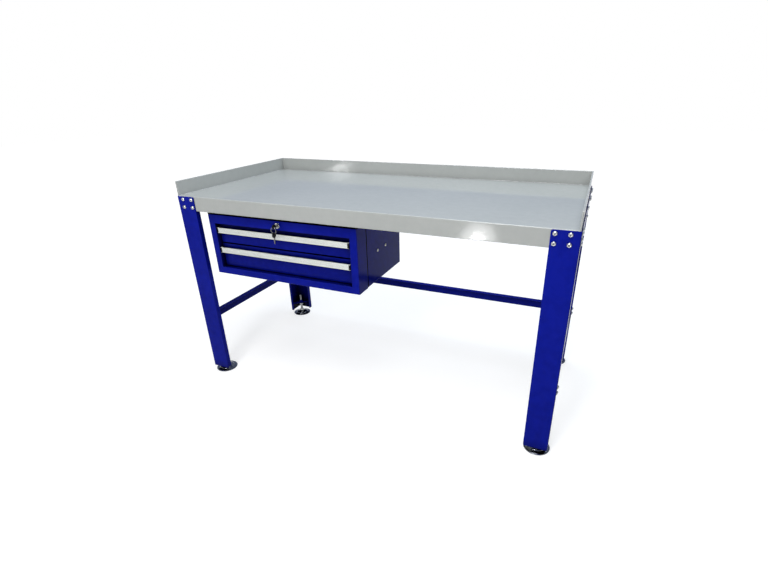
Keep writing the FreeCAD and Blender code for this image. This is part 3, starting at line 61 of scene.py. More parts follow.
# %% Camera
IMAGE_WIDTH, IMAGE_HEIGHT = 768, 576
FOCAL_PIXELS = 453.612652
CENTRE_X, CENTRE_Y = 395.5265, 306.1323
CAMERA_PLACE = (0.766236787, -1.66149345, 1.16865649)
CAMERA_RIGHT = Vector((0.91755416, 0.39715019, -0.01913365))
CAMERA_UP = Vector((-0.15480793, 0.40115595, 0.90283354))

lens = bpy.data.cameras.new("camera")
lens.sensor_width = 36
lens.lens = FOCAL_PIXELS / IMAGE_WIDTH * lens.sensor_width
lens.shift_x = (IMAGE_WIDTH / 2 - CENTRE_X) / IMAGE_WIDTH
lens.shift_y = (CENTRE_Y - IMAGE_HEIGHT / 2) / IMAGE_WIDTH
lens.clip_start, lens.clip_end = 0.05, 60
camera = bpy.data.objects.new("camera", lens)
camera_back = CAMERA_RIGHT.cross(CAMERA_UP).normalized()
turned = Matrix((CAMERA_RIGHT, CAMERA_UP, camera_back)).transposed().to_4x4()
camera.matrix_world = Matrix.Translation(CAMERA_PLACE) @ turned
bpy.context.scene.collection.objects.link(camera)
bpy.context.scene.camera = camera
print("lens", round(lens.lens, 2), "mm, shift", round(lens.shift_x, 4), round(lens.shift_y, 4))

# %% [markdown]
# A finish is a small network of nodes. Each one needs the same few parts: a way to add a node and
# wire it, to stretch one range of numbers onto another, to multiply, and to mix two colours. They
# could be written out in every finish, but as helpers they keep the finishes short enough to read.

# %% Shader nodes
def add(tree, kind, inputs=None, **settings):
    """Adds one shader node. An input that is given a socket is wired to it."""
    node = tree.nodes.new("ShaderNode" + kind)
    for key, value in settings.items():
        setattr(node, key, value)
    for key, value in (inputs or {}).items():
        if isinstance(value, bpy.types.NodeSocket):
            tree.links.new(value, node.inputs[key])
        else:
            node.inputs[key].default_value = value
    return node


def remap(tree, value, low, high, to_low, to_high):
    """A value from low to high becomes one from to_low to to_high, and stops there."""
    inputs = {"Value": value, "From Min": low, "From Max": high,
              "To Min": to_low, "To Max": to_high}
    return add(tree, "MapRange", inputs).outputs["Result"]


def product(tree, first, second):
    return add(tree, "Math", {0: first, 1: second}, operation="MULTIPLY").outputs[0]


def blend(tree, share, first, second):
    """Colour first where share is 0, and second where it is 1."""
    first, second = (c if isinstance(c, bpy.types.NodeSocket) else (*c, 1) for c in (first, second))
    return add(tree, "Mix", {0: share, 6: first, 7: second}, data_type="RGBA").outputs[2]


print("node helpers", [helper.__name__ for helper in (add, remap, product, blend)])

# %% [markdown]
# No real surface is even, so every finish starts from noise. Noise could be laid out by unwrapping
# each mesh, but in the piece's own metres it has one scale on every piece, has no seams at the
# folds, and travels with a drawer that opens. All finishes are kept in one table, by the name of
# the material slot that they are for.

# %% Noise, bumps and new finishes
def grain(tree, scale, detail=3, stretch=(1, 1, 1), offset=0):
    """Noise with about scale blotches a metre. A small stretch number draws it out along an axis,
    and an offset moves it, so that two noises don't fall on each other."""
    own = add(tree, "TexCoord").outputs["Object"]
    laid = add(tree, "Mapping", {"Vector": own, "Scale": stretch, "Location": (offset,) * 3})
    inputs = {"Vector": laid.outputs[0], "Scale": scale, "Detail": detail}
    return add(tree, "TexNoise", inputs).outputs["Fac"]


def bumps(tree, height, strength, depth, normal=None):
    """A normal that follows a height map of that depth in metres."""
    inputs = {"Height": height, "Strength": strength, "Distance": depth}
    if normal is not None:
        inputs["Normal"] = normal
    return add(tree, "Bump", inputs).outputs["Normal"]


def new_finish(slot, metallic):
    """A material named for a slot of the record, its node tree and its shader."""
    material = bpy.data.materials.new("finish_" + slot)
    material.use_nodes = True
    shader = material.node_tree.nodes["Principled BSDF"]
    shader.inputs["Metallic"].default_value = metallic
    return material, material.node_tree, shader


def wire(tree, shader, colour, roughness, normal):
    """Connects a finished network to its shader."""
    for name, socket in (("Base Color", colour), ("Roughness", roughness), ("Normal", normal)):
        tree.links.new(socket, shader.inputs[name])


FINISHES = {}
print("finishes so far", len(FINISHES))

# %% [markdown]
# Folds and cut edges are rubbed lighter, and that lighter edge is also a painted highlight along
# the folds. Corners that are closed in get painted shade. Both could be painted by hand, but
# Blender can find them. A rounded normal leans away from the flat one only near an edge, and
# ambient occlusion tells how open a point lies.

# %% Edges and corners
ON_FLAT, ON_EDGE = 0.995, 0.8
EDGE_SAMPLES, CORNER_SAMPLES = 6, 8


def edge_nearness(tree, radius):
    """How near a point is to an edge, from 0 to 1, and a normal that rounds that edge."""
    bent = add(tree, "Bevel", {"Radius": radius}, samples=EDGE_SAMPLES).outputs[0]
    flat = add(tree, "NewGeometry").outputs["Normal"]
    facing = add(tree, "VectorMath", {0: bent, 1: flat}, operation="DOT_PRODUCT").outputs["Value"]
    return remap(tree, facing, ON_FLAT, ON_EDGE, 0, 1), bent


# Colour mixed to black by this share is painted shade in corners that are closed in.
def painted_corner_shade(tree, distance, low, high, deep):
    """1 on an open face, down to the share deep in a corner that is closed in within a distance."""
    seen = add(tree, "AmbientOcclusion", {"Distance": distance}, samples=CORNER_SAMPLES)
    return remap(tree, seen.outputs["AO"], low, high, deep, 1)


print("edges are found with", EDGE_SAMPLES, "samples and corners with", CORNER_SAMPLES)

# %% [markdown]
# Along a few joints and edges of the cabinet, where the worktop or the next sheet shades a narrow
# gap, a dark line of painted shade a few millimetres wide is mixed into the paint. It could be a
# thin black strip, but it has no thickness of its own, so it is mixed into the paint by the
# distance to the joint, with a ragged edge. The same mask takes the gloss away.

# %% Painted shade along joints
SHADE_FADE = 1.2 * MM


def painted_joint_shade(tree, axis, place, half_width):
    """0 in the painted shade along a joint at a place on an axis, with a ragged edge, 1 on unshaded
    paint.
    """
    own = add(tree, "TexCoord").outputs["Object"]
    along = add(tree, "SeparateXYZ", {0: own}).outputs[axis]
    away = add(tree, "Math", {0: along, 1: place}, operation="SUBTRACT").outputs[0]
    away = add(tree, "Math", {0: away}, operation="ABSOLUTE").outputs[0]
    ragged = product(tree, grain(tree, 90, 3, offset=13), SHADE_FADE)
    away = add(tree, "Math", {0: away, 1: ragged}, operation="ADD").outputs[0]
    return remap(tree, away, half_width, half_width + SHADE_FADE, 0, 1)


collar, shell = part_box("cabinet_front_frame")[1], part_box("cabinet_carcass")[1]
drawer_gap = (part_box("upper_drawer_front")[0].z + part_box("lower_drawer_front")[1].z) / 2
# Lines of painted shade: under the worktop's edge on the cabinet's top, behind the front collar,
# and in the gap between the drawer fronts.
PAINTED_JOINT_LINES = {"cabinet_front_frame": [("Z", collar.z, 7.5 * MM)],
          "cabinet_carcass": [("Z", shell.z, 5 * MM), ("Y", collar.y, 9 * MM)],
          "upper_drawer_front": [("Z", drawer_gap, 3.0 * MM)],
          "lower_drawer_front": [("Z", drawer_gap, 3.0 * MM)]}
print("joint between the drawer fronts at", round(drawer_gap, 4), "m")

# %% [markdown]
# Stove enamel is sprayed on and baked. It levels almost flat, but keeps a faint orange-peel ripple
# that softens reflections, and it drifts a little in tone over a large panel. With use it picks up
# smudges, wears thin and turns lighter along folds, and catches dust. That lighter edge is also a
# painted highlight along the folds, and corners that are closed in get painted shade. One image of
# rust and scratches could be laid over it, but noise has no seams and no pattern that repeats.

# %% Enamel
def enamel(slot, dark, pale, worn_and_lit_edge, dust, gloss, specular, edge_wear_and_highlight, peel, fold, shade_in_corners,
           joints=(), name=""):
    """Baked paint: slow drift, fine mottle, worn edges that are also a painted highlight, painted
    shade in corners and along joints, dust and orange peel.
    """
    material, tree, shader = new_finish(slot, 0)
    shader.inputs["Specular IOR Level"].default_value = specular
    drift = remap(tree, grain(tree, 2.6), 0.35, 0.65, 0, 1)
    mottle = remap(tree, grain(tree, 42, 4, offset=3), 0.3, 0.7, 0, 1)
    tone = add(tree, "Math", {0: drift, 1: mottle}, operation="ADD").outputs[0]
    colour = blend(tree, remap(tree, tone, 0.4, 1.6, 0, 1), dark, pale)
    edge, rounded = edge_nearness(tree, fold)
    patchy = remap(tree, grain(tree, 70, 5, offset=7), 0.42, 0.62, 0.15, 1)
    # Rubbed edges turn lighter, and this lighter edge also stands in as a painted highlight along
    # the folds.
    wear_and_highlight_mask = product(tree, product(tree, edge, patchy), edge_wear_and_highlight)
    colour = blend(tree, wear_and_highlight_mask, colour, worn_and_lit_edge)
    specks = remap(tree, grain(tree, 330, 2, offset=11), 0.74, 0.8, 0, 0.5)
    colour = blend(tree, specks, colour, dust)
    # Painted shade: the colour goes to black in corners that are closed in.
    colour = blend(tree, painted_corner_shade(tree, *shade_in_corners), (0, 0, 0), colour)
    for joint in joints:
        # Painted shade along a joint: colour and gloss go to black there.
        unshaded = painted_joint_shade(tree, *joint)
        colour = blend(tree, unshaded, (0, 0, 0), colour)
        specular = product(tree, unshaded, specular)
    if joints:
        tree.links.new(specular, shader.inputs["Specular IOR Level"])
    smears = remap(tree, grain(tree, 7, 5, (1, 1, 0.5), offset=5), 0.35, 0.7, 0, 1)
    roughness = remap(tree, smears, 0, 1, *gloss)
    ripple = bumps(tree, grain(tree, 110, 2, offset=9), peel, 0.2 * MM, rounded)
    wire(tree, shader, colour, roughness, ripple)
    FINISHES[slot + name] = material


# The count of nodes that take painted shade along a joint.
print("enamel takes painted shade on", len(PAINTED_JOINT_LINES), "nodes")

# %% [markdown]
# Both paints on the bench are one enamel with different numbers. The grey is thick and glossy, and
# the blue is a deep coat that reflects little. The four nodes with painted shade along a joint each
# get a blue of their own, because the joint has a different place on each.

# %% Grey and blue paint
# shade_in_corners is painted shade in corners: its reach, the openness range, and the darkest share
# left.
GREY = dict(dark=(0.382, 0.393, 0.378), pale=(0.405, 0.415, 0.40), worn_and_lit_edge=(0.66, 0.67, 0.66),
            dust=(0.32, 0.31, 0.29), gloss=(0.07, 0.12), specular=0.5, edge_wear_and_highlight=0.8, peel=0.012,
            fold=3.2 * MM, shade_in_corners=(0.05, 0.25, 0.7, 0.7))
BLUE = dict(dark=(0.0028, 0.0076, 0.222), pale=(0.0042, 0.0106, 0.292), worn_and_lit_edge=(0.06, 0.08, 0.38),
            dust=(0.06, 0.06, 0.12), gloss=(0.1, 0.2), specular=0.032, edge_wear_and_highlight=0.45, peel=0.05,
            fold=1.6 * MM, shade_in_corners=(0.08, 0.28, 0.92, 0.02))
enamel("grey_paint", **GREY)
enamel("blue_paint", **BLUE)
for shaded_node, its_joints in PAINTED_JOINT_LINES.items():
    enamel("blue_paint", **BLUE, joints=its_joints, name="_" + shaded_node)
print("paints", sorted(FINISHES))

# %% [markdown]
# Bare and plated metals all reflect alike, and what tells them apart is their surface. Drawn
# aluminium and rolled slides keep fine lines along their length, and a plated bolt is smooth with a
# slight haze. Metal could be given one roughness, but noise drawn out along an axis is what a die
# and a roller leave.

# %% Drawn and plated metal
ALONG_X = (0.012, 1, 1)
ALONG_Y = (1, 0.02, 1)
EDGE_RADIUS = 0.4 * MM


def plated(slot, dark, pale, gloss, scale, stretch=(1, 1, 1), depth=0.05, edge_light=0.0,
           shade_in_corners=(0.014, 0.15, 0.8, 0.3), metallic=1.0):
    """Metal with a fine grain, drawn out along an axis by a small stretch number."""
    material, tree, shader = new_finish(slot, metallic)
    lines = remap(tree, grain(tree, scale, 4, stretch), 0.3, 0.7, 0, 1)
    haze = remap(tree, grain(tree, 60, 3, offset=2), 0.3, 0.7, 0, 1)
    edge, rounded = edge_nearness(tree, EDGE_RADIUS)
    colour = blend(tree, lines, dark, pale)
    # Painted highlight: edges are made lighter by edge_light.
    lit = tuple(min(1, c * 1.2) for c in pale)
    colour = blend(tree, product(tree, edge, edge_light), colour, lit)
    # Painted shade: the colour goes to black in corners and hollows that are closed in.
    colour = blend(tree, painted_corner_shade(tree, *shade_in_corners), (0, 0, 0), colour)
    roughness = remap(tree, haze, 0, 1, *gloss)
    wire(tree, shader, colour, roughness, bumps(tree, lines, depth, 0.1 * MM, rounded))
    FINISHES[slot] = material


plated("anodised_aluminium", (0.73, 0.745, 0.70), (0.85, 0.865, 0.815), (0.46, 0.56), 1400,
       ALONG_X, depth=0.12, shade_in_corners=(0.014, 0.55, 0.95, 0.02), metallic=0.5)
plated("slide_steel", (0.44, 0.45, 0.46), (0.60, 0.61, 0.62), (0.25, 0.42), 900,
       ALONG_Y, depth=0.15)
plated("zinc_plated_steel", (0.62, 0.63, 0.61), (0.76, 0.76, 0.73), (0.34, 0.46), 300,
       edge_light=0.5, shade_in_corners=(0.008, 0.35, 0.95, 0.04))
plated("foot_chrome", (0.22, 0.23, 0.25), (0.42, 0.43, 0.45), (0.08, 0.22), 160, edge_light=0.6)
plated("lock_chrome", (0.26, 0.26, 0.26), (0.40, 0.40, 0.39), (0.1, 0.24), 400, edge_light=0.6)
plated("key_steel", (0.22, 0.215, 0.20), (0.34, 0.33, 0.31), (0.24, 0.4), 700, edge_light=0.4)
print("finishes so far", len(FINISHES))

# %% [markdown]
# Hot-dip zinc freezes in flat crystals a centimetre across, and each one has its own grey and its
# own gloss. A texture of crystals could be painted, but the cells of a Voronoi pattern have the
# same origin as real ones: seeds that grow until they meet. A little noise bends their borders.

# %% Galvanised sheet
def galvanised(slot):
    material, tree, shader = new_finish(slot, 1)
    own = add(tree, "TexCoord").outputs["Object"]
    warp = add(tree, "TexNoise", {"Vector": own, "Scale": 60.0, "Detail": 2}).outputs["Color"]
    shifted = add(tree, "Mix", {0: 0.012, 4: own, 5: warp}, data_type="VECTOR").outputs[1]
    cells = add(tree, "TexVoronoi", {"Vector": shifted, "Scale": 75.0})
    tint = add(tree, "SeparateColor", {0: cells.outputs["Color"]}).outputs[0]
    colour = blend(tree, tint, (0.44, 0.45, 0.46), (0.66, 0.67, 0.68))
    scuffs = remap(tree, grain(tree, 90, 5, (1, 0.2, 1)), 0.5, 0.75, 0, 0.25)
    colour = blend(tree, scuffs, colour, (0.3, 0.3, 0.3))
    height = add(tree, "Math", {0: tint, 1: grain(tree, 500, 2)}, operation="ADD").outputs[0]
    roughness = remap(tree, tint, 0, 1, 0.3, 0.5)
    wire(tree, shader, colour, roughness, bumps(tree, height, 0.1, 0.05 * MM))
    FINISHES[slot] = material


galvanised("galvanised_sheet")
print("finishes so far", len(FINISHES))

# %% [markdown]
# Black moulded plastic isn't one black. The mould leaves a fine sparkle texture, fingers polish the
# high spots, and dust settles in the grain. It could be a flat dark grey, but a fine noise for the
# bump, and a slower one that moves colour and gloss together, show both states.

# %% Moulded plastic
def moulded(slot, dark, pale, gloss):
    material, tree, shader = new_finish(slot, 0)
    shader.inputs["Specular IOR Level"].default_value = 0.15
    polish = remap(tree, grain(tree, 90, 4), 0.35, 0.65, 0, 1)
    texture = grain(tree, 2200, 2, offset=4)
    edge, rounded = edge_nearness(tree, 0.5 * MM)
    colour = blend(tree, polish, dark, pale)
    colour = blend(tree, product(tree, edge, 0.35), colour, tuple(c * 2.5 for c in pale))
    roughness = remap(tree, polish, 0, 1, *gloss)
    wire(tree, shader, colour, roughness, bumps(tree, texture, 0.3, 0.08 * MM, rounded))
    FINISHES[slot] = material


moulded("black_plastic", (0.005, 0.005, 0.006), (0.012, 0.012, 0.014), (0.5, 0.34))
moulded("key_plastic", (0.003, 0.003, 0.0035), (0.008, 0.008, 0.009), (0.4, 0.25))
print("finishes", len(FINISHES))

# %% [markdown]
# Every CAD node carries the name of the material slot that it was drawn with. The finish could be
# chosen node by node, but that name already says which one it takes. A node with painted shade
# along its joints takes its own paint first, if there is one.

# %% Finish on every CAD node
def finish_nodes():
    for name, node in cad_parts.items():
        slot = node.data.materials[0].name
        node.data.materials[0] = FINISHES.get(slot + "_" + name, FINISHES[slot])


finish_nodes()
print("painted", len(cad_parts), "nodes in", len(FINISHES), "finishes")

# %% [markdown]
# The CAD model groups all the bolts of one size in one node. Their places needn't be typed in
# again, because corners that are joined by edges belong to one bolt. Each corner points to another
# of its own solid, and following those pointers to the end sorts all the corners into solids.

# %% The solids of a node
def loose_solids(node):
    """The corners of each separate solid of a CAD node, with corners at one place merged."""
    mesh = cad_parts[node].data
    corners = np.array([v.co for v in mesh.vertices])
    places, which = np.unique(corners.round(6), axis=0, return_inverse=True)
    which = which.ravel()
    owner = list(range(len(places)))

    def root(i):
        while owner[i] != i:
            owner[i] = owner[owner[i]]
            i = owner[i]
        return i

    for edge in mesh.edges:
        owner[root(which[edge.vertices[0]])] = root(which[edge.vertices[1]])
    groups = {}
    for i in range(len(places)):
        groups.setdefault(root(i), []).append(i)
    return [places[members] for members in groups.values()]


print("frame_bolts holds", len(loose_solids("frame_bolts")), "solids")

# %% [markdown]
# A bolt's own corners also tell how it sits. Its axis is the direction round which it is as wide as
# it is high, its head is at the end where it is widest, and its seat is the inner edge of that
# head. Reading this from the CAD keeps both models in step when a size changes.

# %% How a fixing sits
RIM_SHARE = 0.95
SAME_HEIGHT = 0.01 * MM
SHORTEST_SHANK = 0.1 * MM


class Fixing:
    """One solid that is round about an axis: where it sits, which way it faces, its sizes."""

    def __init__(self, corners):
        low, high = corners.min(0), corners.max(0)
        size = high - low
        uneven = [abs(size[i - 1] - size[i - 2]) / max(size[i - 1], size[i - 2]) for i in range(3)]
        self.axis = int(np.argmin(uneven))
        middle = (low + high) / 2
        across = np.delete(corners - middle, self.axis, axis=1)
        reach = np.hypot(across[:, 0], across[:, 1])
        along = corners[:, self.axis]
        rim = along[reach > RIM_SHARE * reach.max()]
        start, finish = low[self.axis], high[self.axis]
        self.side = 1 if finish - rim.mean() < rim.mean() - start else -1
        tip, end = (finish, start) if self.side > 0 else (start, finish)
        seat = rim.min() if self.side > 0 else rim.max()
        tail = reach[np.abs(along - end) < SAME_HEIGHT]
        self.head_height = abs(tip - seat)
        self.length = abs(seat - end)
        self.head_radius = float(reach.max())
        self.shank_radius = float(tail.max())
        self.height = finish - start
        self.place = self.stand(middle, seat)
        self.base = self.stand(middle, end if self.length > SHORTEST_SHANK else start)
        farthest = self.base.inverted() @ Vector(corners[int(np.argmax(reach))])
        self.spin = math.atan2(farthest.y, farthest.x)

    def stand(self, middle, height):
        """A frame at that height on the axis, whose Z runs from the tail to the head."""
        origin = middle.copy()
        origin[self.axis] = height
        outward, aside = Vector((0, 0, 0)), Vector((0, 0, 0))
        outward[self.axis] = self.side
        aside[(self.axis + 1) % 3] = 1
        columns = Matrix((aside, outward.cross(aside), outward)).transposed().to_4x4()
        return Matrix.Translation(Vector(origin)) @ columns


def fixings(node):
    return [Fixing(corners) for corners in loose_solids(node)]


print("radius of a frame bolt's head", round(fixings("frame_bolts")[0].head_radius / MM, 2), "mm")

# %% [markdown]
# Nearly every small piece here is turned: a bolt, a nut, a foot, a lock. A lathe helper makes them
# all from a list of stations, each a height and a radius. A plain cylinder with modifiers would do
# for one of them, but here the radius may change with the angle, which is all it takes to make a
# hexagon, a slot or a cross.

# %% Turning
def circle(sides):
    return [math.tau * i / sides for i in range(sides)]


def steady(radius):
    """A station's radius as a function of the angle."""
    return radius if callable(radius) else lambda angle: radius


def skin(mesh, lower, upper):
    """Faces between two rings with the same number of corners."""
    for i in range(len(lower)):
        j = (i + 1) % len(lower)
        mesh.faces.new((lower[i], lower[j], upper[j], upper[i]))


def close(mesh, rings):
    """A face over each end of a row of rings."""
    mesh.faces.new(rings[0][::-1])
    mesh.faces.new(rings[-1])


def turn(mesh, place, stations, angles, ring=False):
    """Skins a turned shape round the place's own Z. A ring joins its last station to its first."""
    rings = []
    for height, radius in stations:
        reach = steady(radius)
        points = [Vector((reach(a) * math.cos(a), reach(a) * math.sin(a), height)) for a in angles]
        rings.append([mesh.verts.new(place @ point) for point in points])
    for lower, upper in list(zip(rings, rings[1:])) + ([(rings[-1], rings[0])] if ring else []):
        skin(mesh, lower, upper)
    if not ring:
        close(mesh, rings)


ROUND_24 = circle(24)
print("small pieces are turned in", len(ROUND_24), "steps")

# %% [markdown]
# A finished mesh becomes a piece of the bench in the same few steps each time. It gets a finish,
# rides on the body that carries it, and hides the CAD nodes that it stands for. Faces are shaded
# smooth but stay sharp over a steep edge, as a machined part does.

# %% From mesh to piece
def settle(mesh, name, slot, body, *nodes, sharp=32):
    """Turns a finished mesh into a piece that rides on a body and stands for CAD nodes."""
    bmesh.ops.recalc_face_normals(mesh, faces=mesh.faces)
    data = bpy.data.meshes.new(name)
    mesh.to_mesh(data)
    mesh.free()
    data.shade_smooth()
    data.set_sharp_from_angle(angle=math.radians(sharp))
    data.materials.append(FINISHES[slot])
    piece = bpy.data.objects.new(name, data)
    bpy.context.scene.collection.objects.link(piece)
    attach(piece, body)
    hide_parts(*nodes)
    print(name, len(data.polygons), "faces")


# %% [markdown]
# A hexagon is a radius that grows towards its corners, and a rolled thread is one that changes with
# both angle and height, so that its crest climbs as it goes round. The dome of a button head is a
# flattened part of a ball. They could be cut from solid shapes one by one, but as outlines for the
# lathe they share one mesh helper.

# %% Hexagons, threads and domes
def hexagon(flats, spin=0.0):
    """Radius of a hexagon, that far across its flats, with a corner at the angle spin."""
    return lambda angle: flats / 2 / math.cos((angle - spin) % (math.pi / 3) - math.pi / 6)


def within(outline, limit):
    """An outline that is turned down where it reaches beyond a radius."""
    return lambda angle: min(outline(angle), limit)


def threads(root, crest, pitch, start, finish, steps=4):
    """Stations of a helical thread from one height to another."""
    def cut(height):
        def radius(angle):
            turn_share = (height / pitch - angle / math.tau) % 1
            return root + (crest - root) * (1 - abs(2 * turn_share - 1))
        return radius
    count = max(2, int(abs(finish - start) / pitch * steps))
    heights = [start + (finish - start) * i / count for i in range(count + 1)]
    return [(height, cut(height)) for height in heights]


def dome(radius, height, low, flat, steps=5):
    """Stations of a domed head, from its flat top out and down to its rim at height low."""
    lean = math.acos(flat / radius)
    turns = [lean * (1 - i / steps) for i in range(steps + 1)]
    rise = (height - low) / math.sin(lean)
    return [(low + rise * math.sin(t), radius * math.cos(t)) for t in turns]


print("a 12 mm hexagon is", round(2 * hexagon(12)(0), 2), "mm over its corners")

# %% [markdown]
# The frame is held by button-head bolts with a hexagon socket. On the real bolt the dome is forged,
# the socket is punched into it and the thread is rolled. A stock bolt could be copied in place, but
# building each at its own seat lets every socket stop at its own angle, as after tightening by
# hand. The head is drawn a little smaller than the CAD's, so that it stays inside its flats.

# %% Socket bolts
GOLDEN_TURN = 2.39996
HEAD_SHARE = 0.955
SOCKET_SHARE = 0.84


def socket_bolt(mesh, fixing, pitch, spin):
    radius, height, shank = fixing.head_radius * HEAD_SHARE, fixing.head_height, fixing.shank_radius
    flats = radius * SOCKET_SHARE
    mouth = flats * 0.6
    socket = hexagon(flats, spin)
    stations = [(height * 0.42, hexagon(flats * 0.3, spin)), (height * 0.48, socket),
                (height - 0.25 * MM, socket), (height, within(hexagon(flats * 1.2, spin), mouth))]
    stations += dome(radius, height, height * 0.16, mouth * 1.12)
    stations += [(height * 0.06, radius), (0, radius - 0.3 * MM), (0, shank), (-0.8 * MM, shank)]
    stations += threads(shank * 0.86, shank, pitch, -1 * MM, -fixing.length + 0.8 * MM)
    stations += [(-fixing.length, shank * 0.72)]
    turn(mesh, fixing.place, stations, ROUND_24)


def bolts(node, pitch):
    mesh = bmesh.new()
    for index, fixing in enumerate(fixings(node)):
        socket_bolt(mesh, fixing, pitch * MM, index * GOLDEN_TURN)
    settle(mesh, "socket_" + node, "zinc_plated_steel", "bench", node)


bolts("frame_bolts", 1.25)
bolts("cabinet_bolts", 1.0)

# %% [markdown]
# Behind each sheet a hexagon nut takes the bolt. Its corners are turned down at both ends, so that
# they don't dig in, and that small curved bevel is what makes a hexagon read as a nut. It could be
# bevelled as a mesh, but the smaller of a hexagon's radius and a circle's gives the same curve.

# %% Nuts
STEM_BORE = 6.3


def hexagon_nut(mesh, fixing, bore):
    flats = fixing.head_radius * math.cos(math.pi / 6) * 2
    corner, face, high = fixing.head_radius, flats * 0.475, fixing.height
    side = within(hexagon(flats, fixing.spin), corner * 0.995)
    bevel = (corner - face) * 0.55
    stations = [(0, bore), (0, face), (bevel, side), (high - bevel, side), (high, face),
                (high, bore), (high - 0.5 * MM, bore - 0.3 * MM), (0.5 * MM, bore - 0.3 * MM)]
    turn(mesh, fixing.base, stations, ROUND_24, ring=True)


def nuts(node, bore):
    mesh = bmesh.new()
    for fixing in fixings(node):
        hexagon_nut(mesh, fixing, bore * MM)
    settle(mesh, "hexagon_" + node, "zinc_plated_steel", "bench", node)


nuts("frame_nuts", 4.2)
nuts("cabinet_nuts", 3.2)
nuts("foot_lock_nuts", STEM_BORE)

# %% [markdown]
# Inside each leg, near its bottom, a plate with two gussets is welded in, and a threaded boss on
# the plate takes the foot. The plate is nearly a triangle: its free corner is cut off close to the
# boss, so that it stays behind the leg's return lips. Each could be drawn in its own leg, but one
# outline, mirrored into every corner, makes all four.

# %% Foot brackets
BRACKET_SHEET, GUSSET_TOE = 3 * MM, 4 * MM
BOSS_HEIGHT, BOSS_FLATS = 10 * MM, 19 * MM
GUSSET_SHARE = 0.95


def prism(mesh, lower, upper):
    """Closes the space between two outlines with the same number of corners."""
    rings = [[mesh.verts.new(corner) for corner in outline] for outline in (lower, upper)]
    skin(mesh, *rings)
    close(mesh, rings)


def threaded_boss(mesh, x, y, foot):
    bore, side = STEM_BORE * MM, hexagon(BOSS_FLATS)
    stations = [(0, bore), (0, side), (BOSS_HEIGHT - 1.2 * MM, side),
                (BOSS_HEIGHT, BOSS_FLATS * 0.48), (BOSS_HEIGHT, bore)]
    turn(mesh, Matrix.Translation((x, y, foot)), stations, ROUND_24, ring=True)


def foot_bracket(mesh, corners, stem_low, stem_high):
    """Plate, gussets and boss, from a CAD bracket's corners and the foot stem through it."""
    low, high = corners.min(0), corners.max(0)
    side = [1 if low[i] < 0 else -1 for i in (0, 1)]
    start = [low[i] if low[i] < 0 else high[i] for i in (0, 1)]
    wide, deep = high[0] - low[0], high[1] - low[1]
    plate_top = high[2] - BOSS_HEIGHT
    plate_low = plate_top - BRACKET_SHEET

    def at(u, v, z):
        return Vector((start[0] + side[0] * u, start[1] + side[1] * v, z))

    outline = [(0, 0), (wide, 0), (wide, deep * 0.14), (wide * 0.97, deep * 0.18),
               (wide * 0.18, deep * 0.97), (wide * 0.14, deep), (0, deep)]
    prism(mesh, *[[at(u, v, z) for u, v in outline] for z in (plate_low, plate_top)])
    gusset = [(0, plate_low), (0, low[2]), (GUSSET_TOE, low[2]), (wide * GUSSET_SHARE, plate_low)]
    prism(mesh, *[[at(u, v, z) for u, z in gusset] for v in (0, BRACKET_SHEET)])
    gusset = [(BRACKET_SHEET, plate_low), (BRACKET_SHEET, low[2]),
              (BRACKET_SHEET + GUSSET_TOE, low[2]), (deep * GUSSET_SHARE, plate_low)]
    prism(mesh, *[[at(u, v, z) for v, z in gusset] for u in (0, BRACKET_SHEET)])
    middle = (stem_low + stem_high) / 2
    threaded_boss(mesh, middle.x, middle.y, plate_top)


def corner_of(points):
    """The corner of the bench where a solid stands, as in the names of the feet."""
    x, y = points[0][:2]
    return ("front_" if y < 0 else "rear_") + ("left" if x < 0 else "right")


def foot_brackets():
    mesh = bmesh.new()
    for points in loose_solids("foot_brackets"):
        foot_bracket(mesh, points, *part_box("foot_stem_" + corner_of(points)))
    settle(mesh, "welded_foot_brackets", "blue_paint", "bench", "foot_brackets")


foot_brackets()

# %% [markdown]
# Each leg stands on a levelling foot. Its pad is cast, with a stepped and softly rounded top. A
# disc with a bevel could stand for it, but a lathe profile with rounded shoulders gives the pad the
# broad highlights of a casting.

# %% Foot pads
PAD_PROFILE = [(0, 41.5), (0.5, 44.6), (1.6, 46.1), (3.2, 46.5), (4.4, 45.9), (5.3, 43.6),
               (6.2, 40), (7.0, 36), (7.7, 32.6), (8.4, 31.4), (9.3, 31), (10.2, 30.2), (10.9, 28),
               (11.8, 24.6), (13.0, 20.6), (14.3, 16.8), (15.6, 14), (16.5, 13.2), (17.0, 12.4)]


def in_metres(profile):
    return [(height * MM, radius * MM) for height, radius in profile]


def foot_pad(corner, middle):
    mesh = bmesh.new()
    turn(mesh, middle, in_metres(PAD_PROFILE), circle(72))
    settle(mesh, "pad_" + corner, "foot_chrome", "foot_" + corner, "foot_pad_" + corner)


print("a pad is", 2 * max(radius for height, radius in PAD_PROFILE), "mm wide")

# %% [markdown]
# A threaded stem stands on each pad, with a hexagon at its bottom for a spanner. A smooth rod with
# a bump map could stand for the thread, but the outline of a stem shows it, so it's cut for real,
# and it's seen where the foot is screwed out.

# %% Levelling feet
STEM_ROOT, STEM_CREST, STEM_PITCH = 5.1 * MM, 6 * MM, 1.75 * MM
STEM_NECK, STEM_TIP = 5.4 * MM, 4.4 * MM
SPANNER_HEIGHT, SPANNER_BEVEL = 8 * MM, 0.8 * MM


